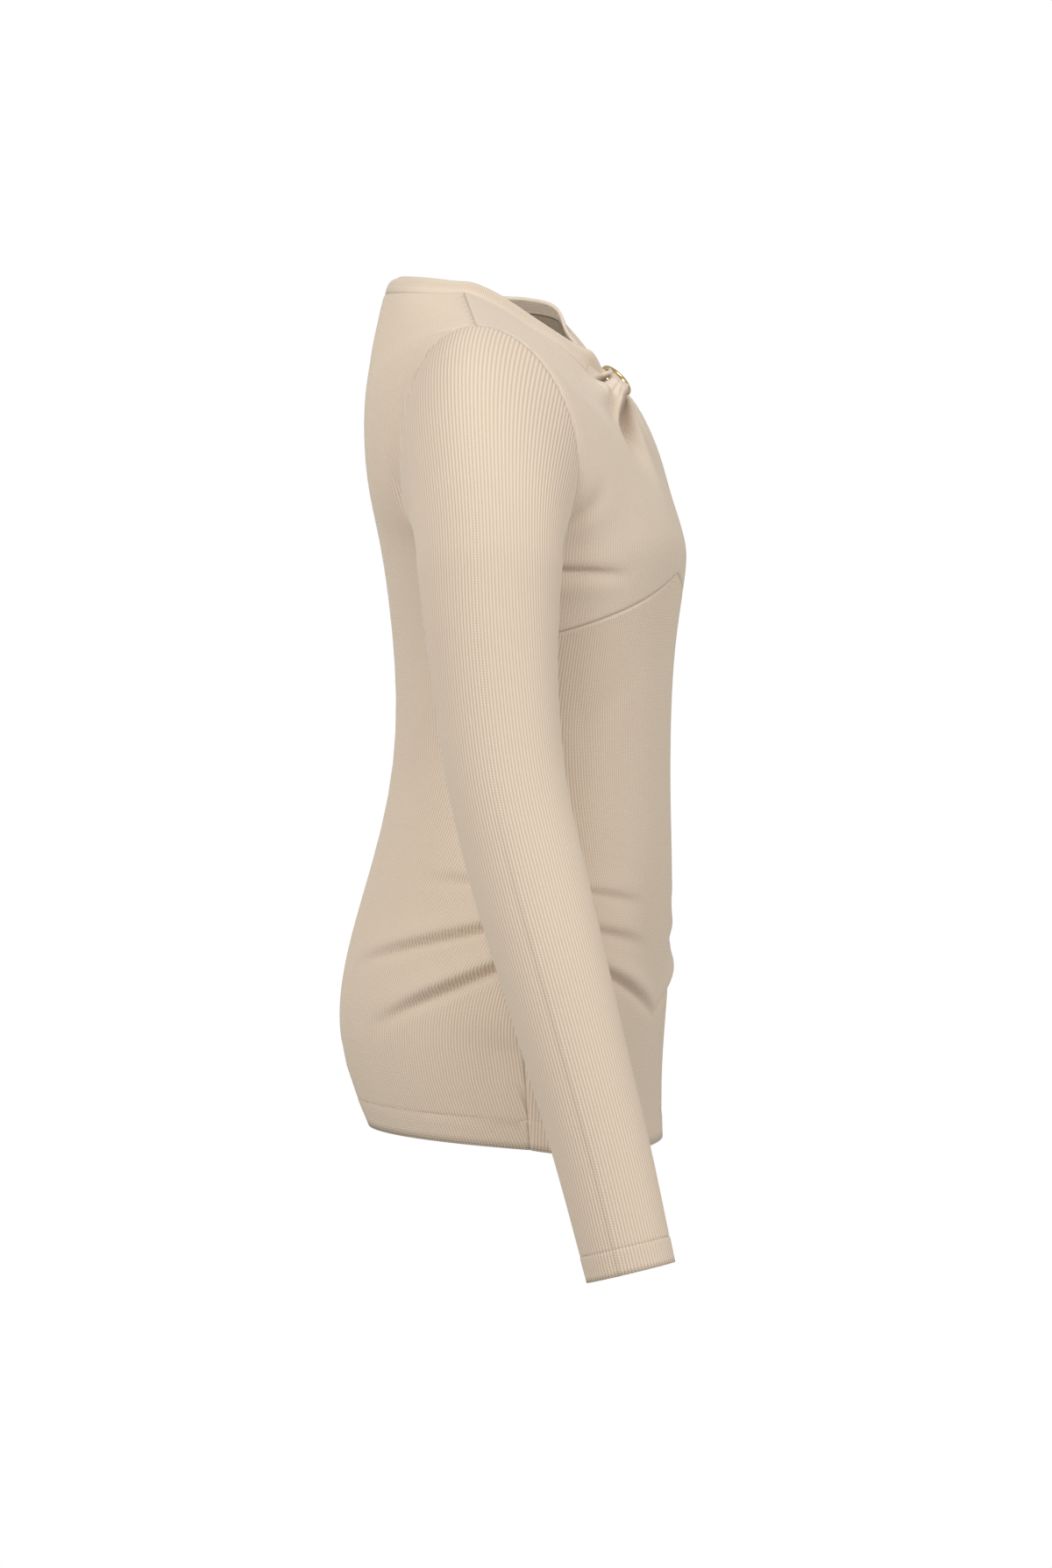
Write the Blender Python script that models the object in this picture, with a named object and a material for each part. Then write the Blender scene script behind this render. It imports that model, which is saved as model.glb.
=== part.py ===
"""A fitted, long-sleeved rib-knit top, filled out as it is worn.

Frame: metres, +Z up, the front faces -Y, the wearer's right side is -X. The origin is the
middle of the neck, level with the inner ends of the shoulder seams. Every piece of cloth is a
wall on one smooth form. The form is worked out for the left half from the tables below, the
folds are raised or sunk along its normals, and the right half is its mirror image.
"""

import bpy
import numpy as np

# Driving sizes of the cut
HEM_Z = -0.571
UNDERARM_Z = -0.178
SHOULDER_TIP = (0.168, -0.0144, -0.0315)
NECK_POINT = (0.092, 0.0095, -0.003)
BAND_TOP_POINT = (0.083, 0.0085, 0.0046)
ARMHOLE_WIDEST_Z = -0.122
ARMHOLE_MIDDLE_Y = -0.0205
ARMHOLE_HALF_DEPTH = 0.059
ARMHOLE_ROUNDNESS = 1.3
BUST_SEAM_TOP_Z = -0.182
BUST_SEAM_DROP = 0.058
BUST_SEAM_POINTED = 0.65
HEM_DROP_FRONT = 0.008
HEM_RISE_BACK = 0.009
HEM_TILT_REACH = 0.12

# Cloth
WALL = 0.0016
SEAM_GAP = 0.0003
HEM_TURN = 0.020
CUFF_TURN = 0.017
TURN_EXTRA = 0.0009
BAND_WALL = 0.0022
BAND_PROUD = 0.0003

# Level sections of the body below the underarm
# z, half width, centre front y, centre back y, side seam y, roundness power
SECTIONS = (
    (-0.571, 0.168, -0.0995, 0.0870, -0.0500, 2.30),
    (-0.530, 0.172, -0.0975, 0.1055, -0.0480, 2.30),
    (-0.488, 0.173, -0.1035, 0.1108, -0.0460, 2.25),
    (-0.434, 0.160, -0.1090, 0.1015, -0.0430, 2.20),
    (-0.389, 0.143, -0.1115, 0.0878, -0.0400, 2.20),
    (-0.344, 0.129, -0.1105, 0.0762, -0.0370, 2.20),
    (-0.299, 0.121, -0.1115, 0.0706, -0.0340, 2.20),
    (-0.254, 0.124, -0.1125, 0.0708, -0.0310, 2.25),
    (-0.215, 0.132, -0.1160, 0.0735, -0.0270, 2.30),
    (-0.178, 0.144, -0.1240, 0.0770, -0.0205, 2.40),
)

# Rows of the yoke: 1 underarm, 2 shoulder tip, 3 band seam, 4 top edge of the neck band.
# The turn is the angle at which a row leaves the armhole for the centre.
# row, front y, front z, back y, back z, front power, back power, front turn, back turn
YOKE = (
    (1.00, -0.1240, -0.178, 0.0770, -0.178, 2.40, 2.40, 0.0, 0.0),
    (1.25, -0.1160, -0.150, 0.0835, -0.140, 2.30, 2.40, 10.0, 12.0),
    (1.50, -0.1045, -0.125, 0.0872, -0.105, 2.20, 2.40, 22.0, 26.0),
    (1.75, -0.0930, -0.104, 0.0885, -0.075, 2.05, 2.40, 28.0, 33.0),
    (2.00, -0.0850, -0.089, 0.0870, -0.050, 1.90, 2.40, 27.0, 30.0),
    (2.50, -0.0795, -0.077, 0.0840, -0.022, 1.70, 2.30, 15.0, 15.0),
    (3.00, -0.0755, -0.066, 0.0800, 0.0025, 1.50, 2.20, 0.0, 0.0),
    (4.00, -0.0715, -0.056, 0.0735, 0.0120, 1.46, 2.20, 0.0, 0.0),
)
FRONT_DIP = 1.45
BACK_RISE = 1.8

# Sleeve stations from the upper arm to past the cuff
# drop below the origin, x, right sleeve y, left sleeve y, half depth, half thickness
SLEEVE = (
    (0.190, 0.2000, -0.0300, -0.0290, 0.0470, 0.0465),
    (0.222, 0.2035, -0.0315, -0.0295, 0.0440, 0.0440),
    (0.279, 0.2080, -0.0362, -0.0290, 0.0400, 0.0405),
    (0.335, 0.2125, -0.0445, -0.0280, 0.0380, 0.0385),
    (0.391, 0.2170, -0.0585, -0.0270, 0.0372, 0.0365),
    (0.448, 0.2215, -0.0750, -0.0265, 0.0350, 0.0345),
    (0.504, 0.2250, -0.0910, -0.0270, 0.0328, 0.0320),
    (0.572, 0.2280, -0.1100, -0.0290, 0.0308, 0.0290),
    (0.640, 0.2300, -0.1270, -0.0360, 0.0288, 0.0265),
    (0.700, 0.2310, -0.1420, -0.0440, 0.0272, 0.0245),
)
CUFF_END = 0.644

# Sleeve cap: its share of the sleeve, how far its cloth sets off outwards at the underarm and
# how much more at the shoulder, and how full it is
CAP_SHARE = 0.2
CAP_OUT_UNDERARM = 0.10
CAP_OUT_MORE = 0.80
CAP_OUT_POWER = 1.2
CAP_FULLNESS = 1.1

# Ring at the centre front. It lies on the slope of the chest, turned a little to the right.
RING_CENTRE = (0.0, -0.0777, -0.0566)
RING_RADIUS = 0.0113
RING_WIRE = 0.0017
RING_SLOPE = 41.0
RING_TURN = 15.0
TAB_HALF_ANGLE = 34.0
TAB_CLEAR = 0.0003
TAB_WALL = 0.0012
SEAT_GAP = 0.0005
SEAT_REACH = 0.021
SEAT_SHARPNESS = 6

# Folds that run from the ring, on both sides of the centre
# start x, start z, end x, end z, height (+ ridge, - trough), half width at the start, at the end
RING_FOLDS = (
    (0.000, -0.070, 0.000, -0.160, 0.0095, 0.0080, 0.0200),
    (0.010, -0.065, 0.044, -0.124, -0.0085, 0.0055, 0.0110),
    (0.021, -0.058, 0.060, -0.024, -0.0040, 0.0040, 0.0065),
    (0.020, -0.063, 0.080, -0.082, 0.0035, 0.0060, 0.0140),
)

# A soft fold that lifts the left side of the neckline, read the same way
LEFT_LIFT = (0.070, 0.005, 0.125, -0.080, 0.0120, 0.0130, 0.0220)

# Folds round the body, read on the cloth laid flat from the centre front to the centre back
# start girth, start z, end girth, end z, height, half width (the side seam is at girth 0.2)
BODY_FOLDS = (
    (0.200, -0.394, 0.276, -0.385, 0.0022, 0.0070),
    (0.200, -0.404, 0.276, -0.395, -0.0022, 0.0060),
    (0.198, -0.412, 0.328, -0.440, 0.0040, 0.0085),
    (0.198, -0.424, 0.325, -0.455, -0.0045, 0.0070),
    (0.200, -0.437, 0.300, -0.478, 0.0055, 0.0090),
    (0.200, -0.450, 0.296, -0.493, -0.0060, 0.0075),
    (0.200, -0.392, 0.095, -0.404, 0.0022, 0.0070),
    (0.200, -0.402, 0.092, -0.416, -0.0025, 0.0060),
    (0.202, -0.412, 0.065, -0.438, 0.0035, 0.0080),
    (0.202, -0.424, 0.065, -0.451, -0.0035, 0.0065),
    (0.204, -0.436, 0.045, -0.480, 0.0038, 0.0090),
    (0.204, -0.449, 0.040, -0.500, -0.0040, 0.0080),
    (0.172, -0.181, 0.095, -0.174, -0.0038, 0.0085),
    (0.172, -0.197, 0.100, -0.193, 0.0020, 0.0085),
    (0.212, -0.152, 0.216, -0.112, -0.0045, 0.0070),
)
QUARTER_GIRTH = 0.2
FOLD_START = 0.16

# How finely each piece is divided
FRONT_COLUMNS = 13
FRONT_CROWDING = 1.6
BACK_COLUMNS = 10
LOWER_BANDS = ((0.0, 4), (0.16, 18), (0.50, 4))
SIDE_ROWS = 2
ARMHOLE_ROWS = 8
SHOULDER_ROWS = 5
CAP_ROWS = 6
ARM_ROWS = 13
BAND_ROWS = 3
BAND_START = 0.04
RING_SEGMENTS = 28
RING_SIDES = 10
TAB_SEGMENTS = 8
ARC_STEPS = 160
LATTICE_ACROSS = 61
LATTICE_ROWS = 201
SOFTENING = 0.07
UNSOFTENED_EDGE = 0.18
NORMAL_STEP = 0.012
SLEEVE_STEP = 0.004
SLEEVE_TURN_STEP = 0.02
SEAM_BLEND = 0.2

# Colours and finish
KNIT_COLOUR = (0.68, 0.55, 0.42, 1.0)
KNIT_ROUGHNESS = 0.9
GOLD_COLOUR = (0.83, 0.62, 0.28, 1.0)
GOLD_ROUGHNESS = 0.22


def smooth(table, column, at):
    """Reads one column of a table anywhere along its first column, on a smooth curve."""
    xs = np.array([row[0] for row in table])
    ys = np.array([row[column] for row in table])
    at = np.clip(np.asarray(at, float), xs[0], xs[-1])
    steps = np.diff(xs)
    slopes = np.diff(ys) / steps
    tangents = np.empty_like(ys)
    weighted = slopes[:-1] * steps[1:] + slopes[1:] * steps[:-1]
    tangents[1:-1] = weighted / (steps[1:] + steps[:-1])
    tangents[0] = slopes[0]
    tangents[-1] = slopes[-1]
    i = np.clip(np.searchsorted(xs, at, side="right") - 1, 0, len(steps) - 1)
    t = (at - xs[i]) / steps[i]
    return (
        ys[i] * (1 + 2 * t) * (1 - t) ** 2
        + tangents[i] * steps[i] * t * (1 - t) ** 2
        + ys[i + 1] * t**2 * (3 - 2 * t)
        + tangents[i + 1] * steps[i] * t**2 * (t - 1)
    )


def ease(t):
    """A soft step from 0 to 1."""
    t = np.clip(t, 0.0, 1.0)
    return t * t * (3 - 2 * t)


def unit(vectors):
    """The same vectors at length 1."""
    return vectors / np.linalg.norm(vectors, axis=-1, keepdims=True)


def armhole(turn):
    """The armhole seam. turn is 0 at the shoulder tip, pi/2 in front and pi under the arm."""
    turn = np.asarray(turn, float)
    up = np.cos(turn)
    above = SHOULDER_TIP[2] - ARMHOLE_WIDEST_Z
    below = ARMHOLE_WIDEST_Z - UNDERARM_Z
    underarm_x = SECTIONS[-1][1]
    x = underarm_x + (SHOULDER_TIP[0] - underarm_x) * ((1 + up) / 2) ** ARMHOLE_ROUNDNESS
    tip_lean = (SHOULDER_TIP[1] - ARMHOLE_MIDDLE_Y) * np.clip(up, 0, 1) ** 2
    y = ARMHOLE_MIDDLE_Y - ARMHOLE_HALF_DEPTH * np.sin(turn) + tip_lean
    z = ARMHOLE_WIDEST_Z + np.where(up > 0, above, below) * up
    return np.stack([x, y, z], -1)


def level(row):
    """Height of a row below the underarm."""
    return HEM_Z + (UNDERARM_Z - HEM_Z) * np.clip(row, 0, 1)


def row_at(z):
    """The row of a height below the underarm."""
    return (np.asarray(z, float) - HEM_Z) / (UNDERARM_Z - HEM_Z)


def edge_point(row, front):
    """Where a row ends: on the side seam, the armhole, the shoulder seam or the band's side."""
    row = np.asarray(row, float)
    z = level(row)
    side = np.stack([smooth(SECTIONS, 1, z), smooth(SECTIONS, 4, z), z], -1)
    turn = np.pi * (2 - np.clip(row, 1, 2))
    arm = armhole(turn if front else -turn)
    along = np.clip(row - 2, 0, 1)[..., None]
    seam = np.array(SHOULDER_TIP) * (1 - along) + np.array(NECK_POINT) * along
    up_band = np.clip(row - 3, 0, 1)[..., None]
    band = np.array(NECK_POINT) * (1 - up_band) + np.array(BAND_TOP_POINT) * up_band
    row = row[..., None]
    return np.where(row <= 1, side, np.where(row <= 2, arm, np.where(row <= 3, seam, band)))


def spread_angle(share, start, width, depth, reach):
    """The angle at which a quarter outline has run through a share of its length."""
    shape = np.shape(share)
    columns = [np.ravel(a) for a in np.broadcast_arrays(share, start, width, depth, reach)]
    share, start, width, depth, reach = columns
    angles = start + (np.pi / 2 - start) * np.linspace(0, 1, ARC_STEPS)[:, None]
    x = width * np.clip(np.cos(angles), 0, 1) ** reach
    y = depth * np.sin(angles) ** reach
    run = np.zeros_like(x)
    run[1:] = np.cumsum(np.hypot(np.diff(x, axis=0), np.diff(y, axis=0)), axis=0)
    run /= run[-1]
    found = [np.interp(share[i], run[:, i], angles[:, i]) for i in range(len(share))]
    return np.reshape(found, shape)


def table_point(across, row, front):
    """A point of the left half, read from the tables. across is 0 at the centre and 1 at the edge."""
    across, row = np.broadcast_arrays(np.asarray(across, float), np.asarray(row, float))
    edge = edge_point(row, front)
    low = row <= 1
    z = level(row)
    yoke_y, yoke_z, yoke_power, yoke_turn = (1, 2, 5, 7) if front else (3, 4, 6, 8)
    centre_y = np.where(low, smooth(SECTIONS, 2 if front else 3, z), smooth(YOKE, yoke_y, row))
    centre_z = np.where(low, z, smooth(YOKE, yoke_z, row))
    power = np.where(low, smooth(SECTIONS, 5, z), smooth(YOKE, yoke_power, row))
    start = np.radians(np.where(low, 0.0, np.clip(smooth(YOKE, yoke_turn, row), 0, 90)))
    reach = 2.0 / power
    begun = np.sin(start) ** reach
    middle_y = (edge[..., 1] - begun * centre_y) / (1 - begun)
    width = edge[..., 0] / np.cos(start) ** reach
    angle = spread_angle(1 - across, start, width, centre_y - middle_y, reach)
    sine = np.sin(angle) ** reach
    share = np.clip((sine - begun) / (1 - begun), 0, 1)
    x = width * np.clip(np.cos(angle), 0, 1) ** reach
    y = middle_y + (centre_y - middle_y) * sine
    z = edge[..., 2] + (centre_z - edge[..., 2]) * share ** (FRONT_DIP if front else BACK_RISE)
    tilt = (-HEM_DROP_FRONT if front else HEM_RISE_BACK) * share
    tilt *= 1 - ease((z - HEM_Z) / HEM_TILT_REACH)
    return np.stack([x, y, z + np.where(low, tilt, 0)], -1)


def softened_lattice(front):
    """The form on an even lattice, softened along the rows but kept at its edge."""
    across = np.linspace(0, 1, LATTICE_ACROSS)
    rows = np.linspace(0, 4, LATTICE_ROWS)
    sharp = table_point(across[None, :], rows[:, None], front)
    reach = int(3 * SOFTENING / (rows[1] - rows[0]))
    offsets = np.arange(-reach, reach + 1)
    weights = np.exp(-((offsets * (rows[1] - rows[0]) / SOFTENING) ** 2) / 2)
    weights /= weights.sum()
    before = 2 * sharp[:1] - sharp[reach:0:-1]
    after = 2 * sharp[-1:] - sharp[-2 : -reach - 2 : -1]
    padded = np.concatenate([before, sharp, after])
    soft = sum(w * padded[i : i + len(sharp)] for i, w in enumerate(weights))
    inside = ease((1 - across) / UNSOFTENED_EDGE)[None, :, None]
    lattice = sharp + (soft - sharp) * inside
    lattice[:, 0, 0] = 0.0
    return lattice


def cubic_weights(t):
    """Weights of four neighbours for a smooth curve through the middle two."""
    return np.stack(
        [
            -0.5 * t + t**2 - 0.5 * t**3,
            1 - 2.5 * t**2 + 1.5 * t**3,
            0.5 * t + 2 * t**2 - 1.5 * t**3,
            -0.5 * t**2 + 0.5 * t**3,
        ]
    )


def form_point(across, row, front):
    """A point of the left half of the softened form."""
    across, row = np.broadcast_arrays(np.asarray(across, float), np.asarray(row, float))
    lattice = LATTICES[front]
    v = np.clip(row, 0, 4) * (LATTICE_ROWS - 1) / 4
    u = np.clip(across, 0, 1) * (LATTICE_ACROSS - 1)
    i = np.minimum(v.astype(int), LATTICE_ROWS - 2)
    j = np.minimum(u.astype(int), LATTICE_ACROSS - 2)
    along = cubic_weights(v - i)
    sideways = cubic_weights(u - j)
    total = 0
    for a in range(4):
        for b in range(4):
            r = np.clip(i + a - 1, 0, LATTICE_ROWS - 1)
            c = j + b - 1
            neighbour = lattice[r, np.clip(np.abs(c), 0, LATTICE_ACROSS - 1)]
            mirrored = np.where((c < 0)[..., None], (-1.0, 1.0, 1.0), 1.0)
            total = total + (along[a] * sideways[b])[..., None] * neighbour * mirrored
    return total


def form_normal(across, row, front):
    """The outward normal of the left half of the form."""
    across, row = np.broadcast_arrays(np.asarray(across, float), np.asarray(row, float))
    step = NORMAL_STEP
    right = form_point(np.clip(across + step, 0, 1), row, front)
    left = form_point(np.clip(across - step, 0, 1), row, front)
    top = form_point(across, np.clip(row + step, 0, 4), front)
    bottom = form_point(across, np.clip(row - step, 0, 4), front)
    normal = unit(np.cross(right - left, top - bottom)) * (1 if front else -1)
    middle = across[..., None] < 0.001
    return unit(normal * np.where(middle, (0.0, 1.0, 1.0), 1.0))


def sleeve_ring(drop, turn, right):
    """A ring of the sleeve, square to the arm, and the arm's direction there."""
    column = 2 if right else 3

    def centre(at):
        return np.stack([smooth(SLEEVE, 1, at), smooth(SLEEVE, column, at), -at], -1)

    axis = unit(centre(drop + SLEEVE_STEP) - centre(drop))
    outward = np.zeros_like(axis)
    outward[..., 0] = 1.0
    outward = unit(outward - axis * np.sum(outward * axis, -1, keepdims=True))
    forward = np.cross(outward, axis)
    forward *= np.where(forward[..., 1:2] > 0, -1.0, 1.0)
    thickness = (smooth(SLEEVE, 5, drop) * np.cos(turn))[..., None]
    depth = (smooth(SLEEVE, 4, drop) * np.sin(turn))[..., None]
    return centre(drop) + outward * thickness + forward * depth, axis


def sleeve_form(turn, along, right):
    """A point of the left-hand sleeve form. along is 0 at the armhole and 1 at the cuff."""
    turn, along = np.broadcast_arrays(np.asarray(turn, float), np.asarray(along, float))
    first = SLEEVE[0][0]
    past_cap = np.clip((along - CAP_SHARE) / (1 - CAP_SHARE), 0, 1)
    arm, _ = sleeve_ring(first + (CUFF_END - first) * past_cap, turn, right)
    end, end_axis = sleeve_ring(np.full_like(along, first), turn, right)
    start = armhole(turn)
    high = (1 + np.cos(turn)) / 2
    outward = CAP_OUT_UNDERARM + CAP_OUT_MORE * high**CAP_OUT_POWER
    leave = np.stack([outward, 0 * outward, -np.sqrt(1 - outward**2)], -1)
    reach = CAP_FULLNESS * np.linalg.norm(end - start, axis=-1, keepdims=True)
    t = np.clip(along / CAP_SHARE, 0, 1)[..., None]
    cap = (
        start * (1 + 2 * t) * (1 - t) ** 2
        + leave * reach * t * (1 - t) ** 2
        + end * t**2 * (3 - 2 * t)
        + end_axis * reach * t**2 * (t - 1)
    )
    return np.where(along[..., None] < CAP_SHARE, cap, arm)


def sleeve_normal(turn, along, right):
    """The outward normal of the sleeve form."""
    after = sleeve_form(turn + SLEEVE_TURN_STEP, along, right)
    before = sleeve_form(turn - SLEEVE_TURN_STEP, along, right)
    lower = sleeve_form(turn, np.clip(along + SLEEVE_STEP, 0, 1), right)
    upper = sleeve_form(turn, np.clip(along - SLEEVE_STEP, 0, 1), right)
    return unit(np.cross(after - before, lower - upper))


def shared_normal(own, other):
    """The normal that two pieces share at a seam, or the first one's where they face apart."""
    agree = np.sum(own * other, -1, keepdims=True)
    return unit(own + other * ease((agree + SEAM_BLEND) / (1 - SEAM_BLEND)))


def seam_normal(row, front, right):
    """The normal that both pieces share where they meet at the edge of a body panel."""
    row = np.asarray(row, float)
    own = form_normal(np.ones_like(row), row, front)
    other = form_normal(np.ones_like(row), row, not front)
    turn = np.pi * (2 - np.clip(row, 1, 2)) * (1 if front else -1)
    arm = sleeve_normal(turn, np.zeros_like(row), right)
    on_armhole = ((row > 1.001) & (row < 1.999))[..., None]
    return np.where(on_armhole, shared_normal(own, arm), unit(own + other))


def fold_height(at, start, end, height, width_start, width_end):
    """Height of one fold at points of a plane: half at its start, full just after, then fading."""
    start = np.array(start)
    run = np.array(end) - start
    offset = at - start
    share = np.sum(offset * run, -1) / np.dot(run, run)
    along = np.clip(share, 0, 1)
    away = np.linalg.norm(offset - along[..., None] * run, axis=-1)
    width = width_start + (width_end - width_start) * along
    begun = ease(0.5 + share / FOLD_START)
    return height * begun * (1 - ease(along)) * np.exp(-((away / width) ** 2))


def relief(points, across, front, side):
    """How far the folds raise one half of the form."""
    total = np.zeros(points.shape[:-1])
    girth = across * QUARTER_GIRTH if front else (2 - across) * QUARTER_GIRTH
    laid_flat = np.stack([np.broadcast_to(girth, total.shape), points[..., 2]], -1)
    for start_x, start_z, end_x, end_z, height, width in BODY_FOLDS:
        ends = (start_x, start_z), (end_x, end_z)
        total += fold_height(laid_flat, *ends, height, width, width)
    if front:
        seen_ahead = points[..., [0, 2]]
        folds = RING_FOLDS + ((LEFT_LIFT,) if side > 0 else ())
        for start_x, start_z, end_x, end_z, height, width, width_end in folds:
            ends = (start_x, start_z), (end_x, end_z)
            total += fold_height(seen_ahead, *ends, height, width, width_end)
    return total


def seated(points):
    """Brings the cloth near the ring to a seat just below it."""
    out = ring_frame()[2]
    offset = points - np.array(RING_CENTRE)
    height = offset @ out
    away = np.linalg.norm(offset - height[..., None] * out, axis=-1)
    seat = -(RING_WIRE + TAB_CLEAR + TAB_WALL + SEAT_GAP)
    share = np.exp(-((away / SEAT_REACH) ** SEAT_SHARPNESS))
    return points + ((seat - height) * share)[..., None] * out


def pull_in(points, edge):
    """Moves one edge of a grid of points in, by half of the gap at a seam."""
    rows = {"first row": (0, 1), "last row": (-1, -2)}
    if edge in rows:
        outer, inner = rows[edge]
        points[outer] += unit(points[inner] - points[outer]) * SEAM_GAP / 2
        return
    outer, inner = {"first column": (0, 1), "last column": (-1, -2)}[edge]
    points[:, outer] += unit(points[:, inner] - points[:, outer]) * SEAM_GAP / 2


def half_panel(across, row, front, side):
    """Points and normals of one half of a body panel. side is 1 on the left, -1 on the right."""
    across, row = np.broadcast_arrays(across, row)
    base = form_point(across, row, front)
    normals = form_normal(across, row, front)
    at_edge = across[0] > 0.999
    normals[:, at_edge] = seam_normal(row[:, at_edge], front, side < 0)
    points = base + normals * relief(base, across, front, side)[..., None]
    mirror = np.array([side, 1.0, 1.0])
    points = points * mirror
    return (seated(points) if front else points), normals * mirror


def grid_faces(rows, columns, offset, flip, closed):
    """Four-sided faces of a grid of points numbered row by row."""
    faces = []
    for i in range(rows - 1):
        for j in range(columns if closed else columns - 1):
            after = (j + 1) % columns
            face = [
                offset + i * columns + j,
                offset + i * columns + after,
                offset + (i + 1) * columns + after,
                offset + (i + 1) * columns + j,
            ]
            faces.append(face[::-1] if flip else face)
    return faces


def rim_faces(rows, columns, closed):
    """Faces that join the outer and the inner grid of points round their open edges."""
    count = rows * columns
    first = list(range(columns))
    last = [(rows - 1) * columns + j for j in range(columns)]
    if closed:
        loops = [first + first[:1], (last + last[:1])[::-1]]
    else:
        right = [i * columns + columns - 1 for i in range(1, rows)]
        left = [i * columns for i in range(rows - 2, -1, -1)]
        loops = [first + right + last[::-1][1:] + left]
    faces = []
    for loop in loops:
        for a, b in zip(loop[:-1], loop[1:]):
            faces.append([b, a, a + count, b + count])
    return faces


def cloth_wall(name, points, normals, thickness, material, closed=False):
    """A closed wall of cloth: the grid of outer points, a grid inside it, and their rims."""
    rows, columns = points.shape[:2]
    thickness = np.broadcast_to(thickness, (rows, columns))[..., None]
    inner = points - normals * thickness
    vertices = np.concatenate([points.reshape(-1, 3), inner.reshape(-1, 3)])
    faces = grid_faces(rows, columns, 0, False, closed)
    faces += grid_faces(rows, columns, rows * columns, True, closed)
    faces += rim_faces(rows, columns, closed)
    across = points[0, 1] - points[0, 0]
    along = points[1, 0] - points[0, 0]
    if np.dot(np.cross(across, along), normals[0, 0]) < 0:
        faces = [face[::-1] for face in faces]
    return add_object(name, vertices, faces, material)


def add_object(name, vertices, faces, material):
    """Makes a smooth-shaded object from points and faces."""
    mesh = bpy.data.meshes.new(name)
    mesh.from_pydata([tuple(v) for v in vertices], [], faces)
    mesh.materials.append(material)
    mesh.shade_smooth()
    item = bpy.data.objects.new(name, mesh)
    bpy.context.scene.collection.objects.link(item)
    return item


def make_material(name, colour, roughness, metallic):
    """A plain surface of one colour."""
    material = bpy.data.materials.new(name)
    material.use_nodes = True
    shader = material.node_tree.nodes["Principled BSDF"]
    shader.inputs["Base Color"].default_value = colour
    shader.inputs["Roughness"].default_value = roughness
    shader.inputs["Metallic"].default_value = metallic
    return material


def front_across():
    """Places across the front from the centre to the edge, closer together near the ring."""
    return np.linspace(0, 1, FRONT_COLUMNS + 1) ** FRONT_CROWDING


def upper_edge_rows():
    """Rows of the edge above the bust seam: side seam, armhole and shoulder seam."""
    bust_end = row_at(bust_seam_z(1.0))
    side = np.linspace(bust_end, 1, SIDE_ROWS + 1)
    arm = np.linspace(1, 2, ARMHOLE_ROWS + 1)
    shoulder = np.linspace(2, 3, SHOULDER_ROWS + 1)
    return np.concatenate([side[:-1], arm[:-1], shoulder])


def bust_seam_z(across):
    """Height of the seam under the bust, pointed at the centre and lowest at the side seam."""
    across = np.asarray(across, float)
    curved = np.sin(np.pi / 2 * across)
    return BUST_SEAM_TOP_Z - BUST_SEAM_DROP * (curved + (across - curved) * BUST_SEAM_POINTED)


def bust_seam_row(across):
    """The row on which the bust seam lies."""
    return row_at(bust_seam_z(across))


def turned_edge(distance, turn):
    """Extra thickness where the cloth is turned up inside: full within the turned width."""
    return TURN_EXTRA * (distance < turn + 1e-6)


def lower_shares():
    """Shares of the height from the hem to the bust seam, closer together at the hip folds."""
    starts = [start for start, _ in LOWER_BANDS] + [1.0]
    runs = [
        np.linspace(starts[i], starts[i + 1], count + 1)[:-1]
        for i, (_, count) in enumerate(LOWER_BANDS)
    ]
    return np.concatenate(runs + [[1.0]])


def make_back(knit):
    """The back: one panel from hem to neck, between the side, armhole and shoulder seams."""
    lower = lower_shares()[:-1] * row_at(bust_seam_z(1.0))
    rows = np.concatenate([lower, upper_edge_rows()])[:, None]
    across = np.linspace(0, 1, BACK_COLUMNS + 1)[None, :]
    left, left_normals = half_panel(across, rows, False, 1)
    right, right_normals = half_panel(across, rows, False, -1)
    points = np.concatenate([right[:, ::-1], left[:, 1:]], axis=1)
    normals = np.concatenate([right_normals[:, ::-1], left_normals[:, 1:]], axis=1)
    for edge in ("first column", "last column", "last row"):
        pull_in(points, edge)
    thickness = WALL + turned_edge(level(rows) - HEM_Z, HEM_TURN)
    return cloth_wall("back", points, normals, thickness, knit)


def make_front_lower(knit):
    """The lower front: one panel from the hem to the curved seam under the bust."""
    across = front_across()[None, :]
    rows = lower_shares()[:, None] * bust_seam_row(across)
    left, left_normals = half_panel(across, rows, True, 1)
    right, right_normals = half_panel(across, rows, True, -1)
    points = np.concatenate([right[:, ::-1], left[:, 1:]], axis=1)
    normals = np.concatenate([right_normals[:, ::-1], left_normals[:, 1:]], axis=1)
    for edge in ("first column", "last column", "last row"):
        pull_in(points, edge)
    both = np.concatenate([rows[:, ::-1], rows[:, 1:]], axis=1)
    thickness = WALL + turned_edge(level(both) - HEM_Z, HEM_TURN)
    return cloth_wall("front_lower", points, normals, thickness, knit)


def make_front_upper(name, side, knit):
    """A draped upper front: from the bust seam to the band seam, gathered towards the ring."""
    across = front_across()[None, :]
    edge_rows = upper_edge_rows()[:, None]
    first = bust_seam_row(across)
    share = (edge_rows - edge_rows[0]) / (3 - edge_rows[0])
    points, normals = half_panel(across, first + share * (3 - first), True, side)
    for edge in ("first column", "last column", "first row", "last row"):
        pull_in(points, edge)
    return cloth_wall(name, points, normals, WALL, knit)


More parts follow.
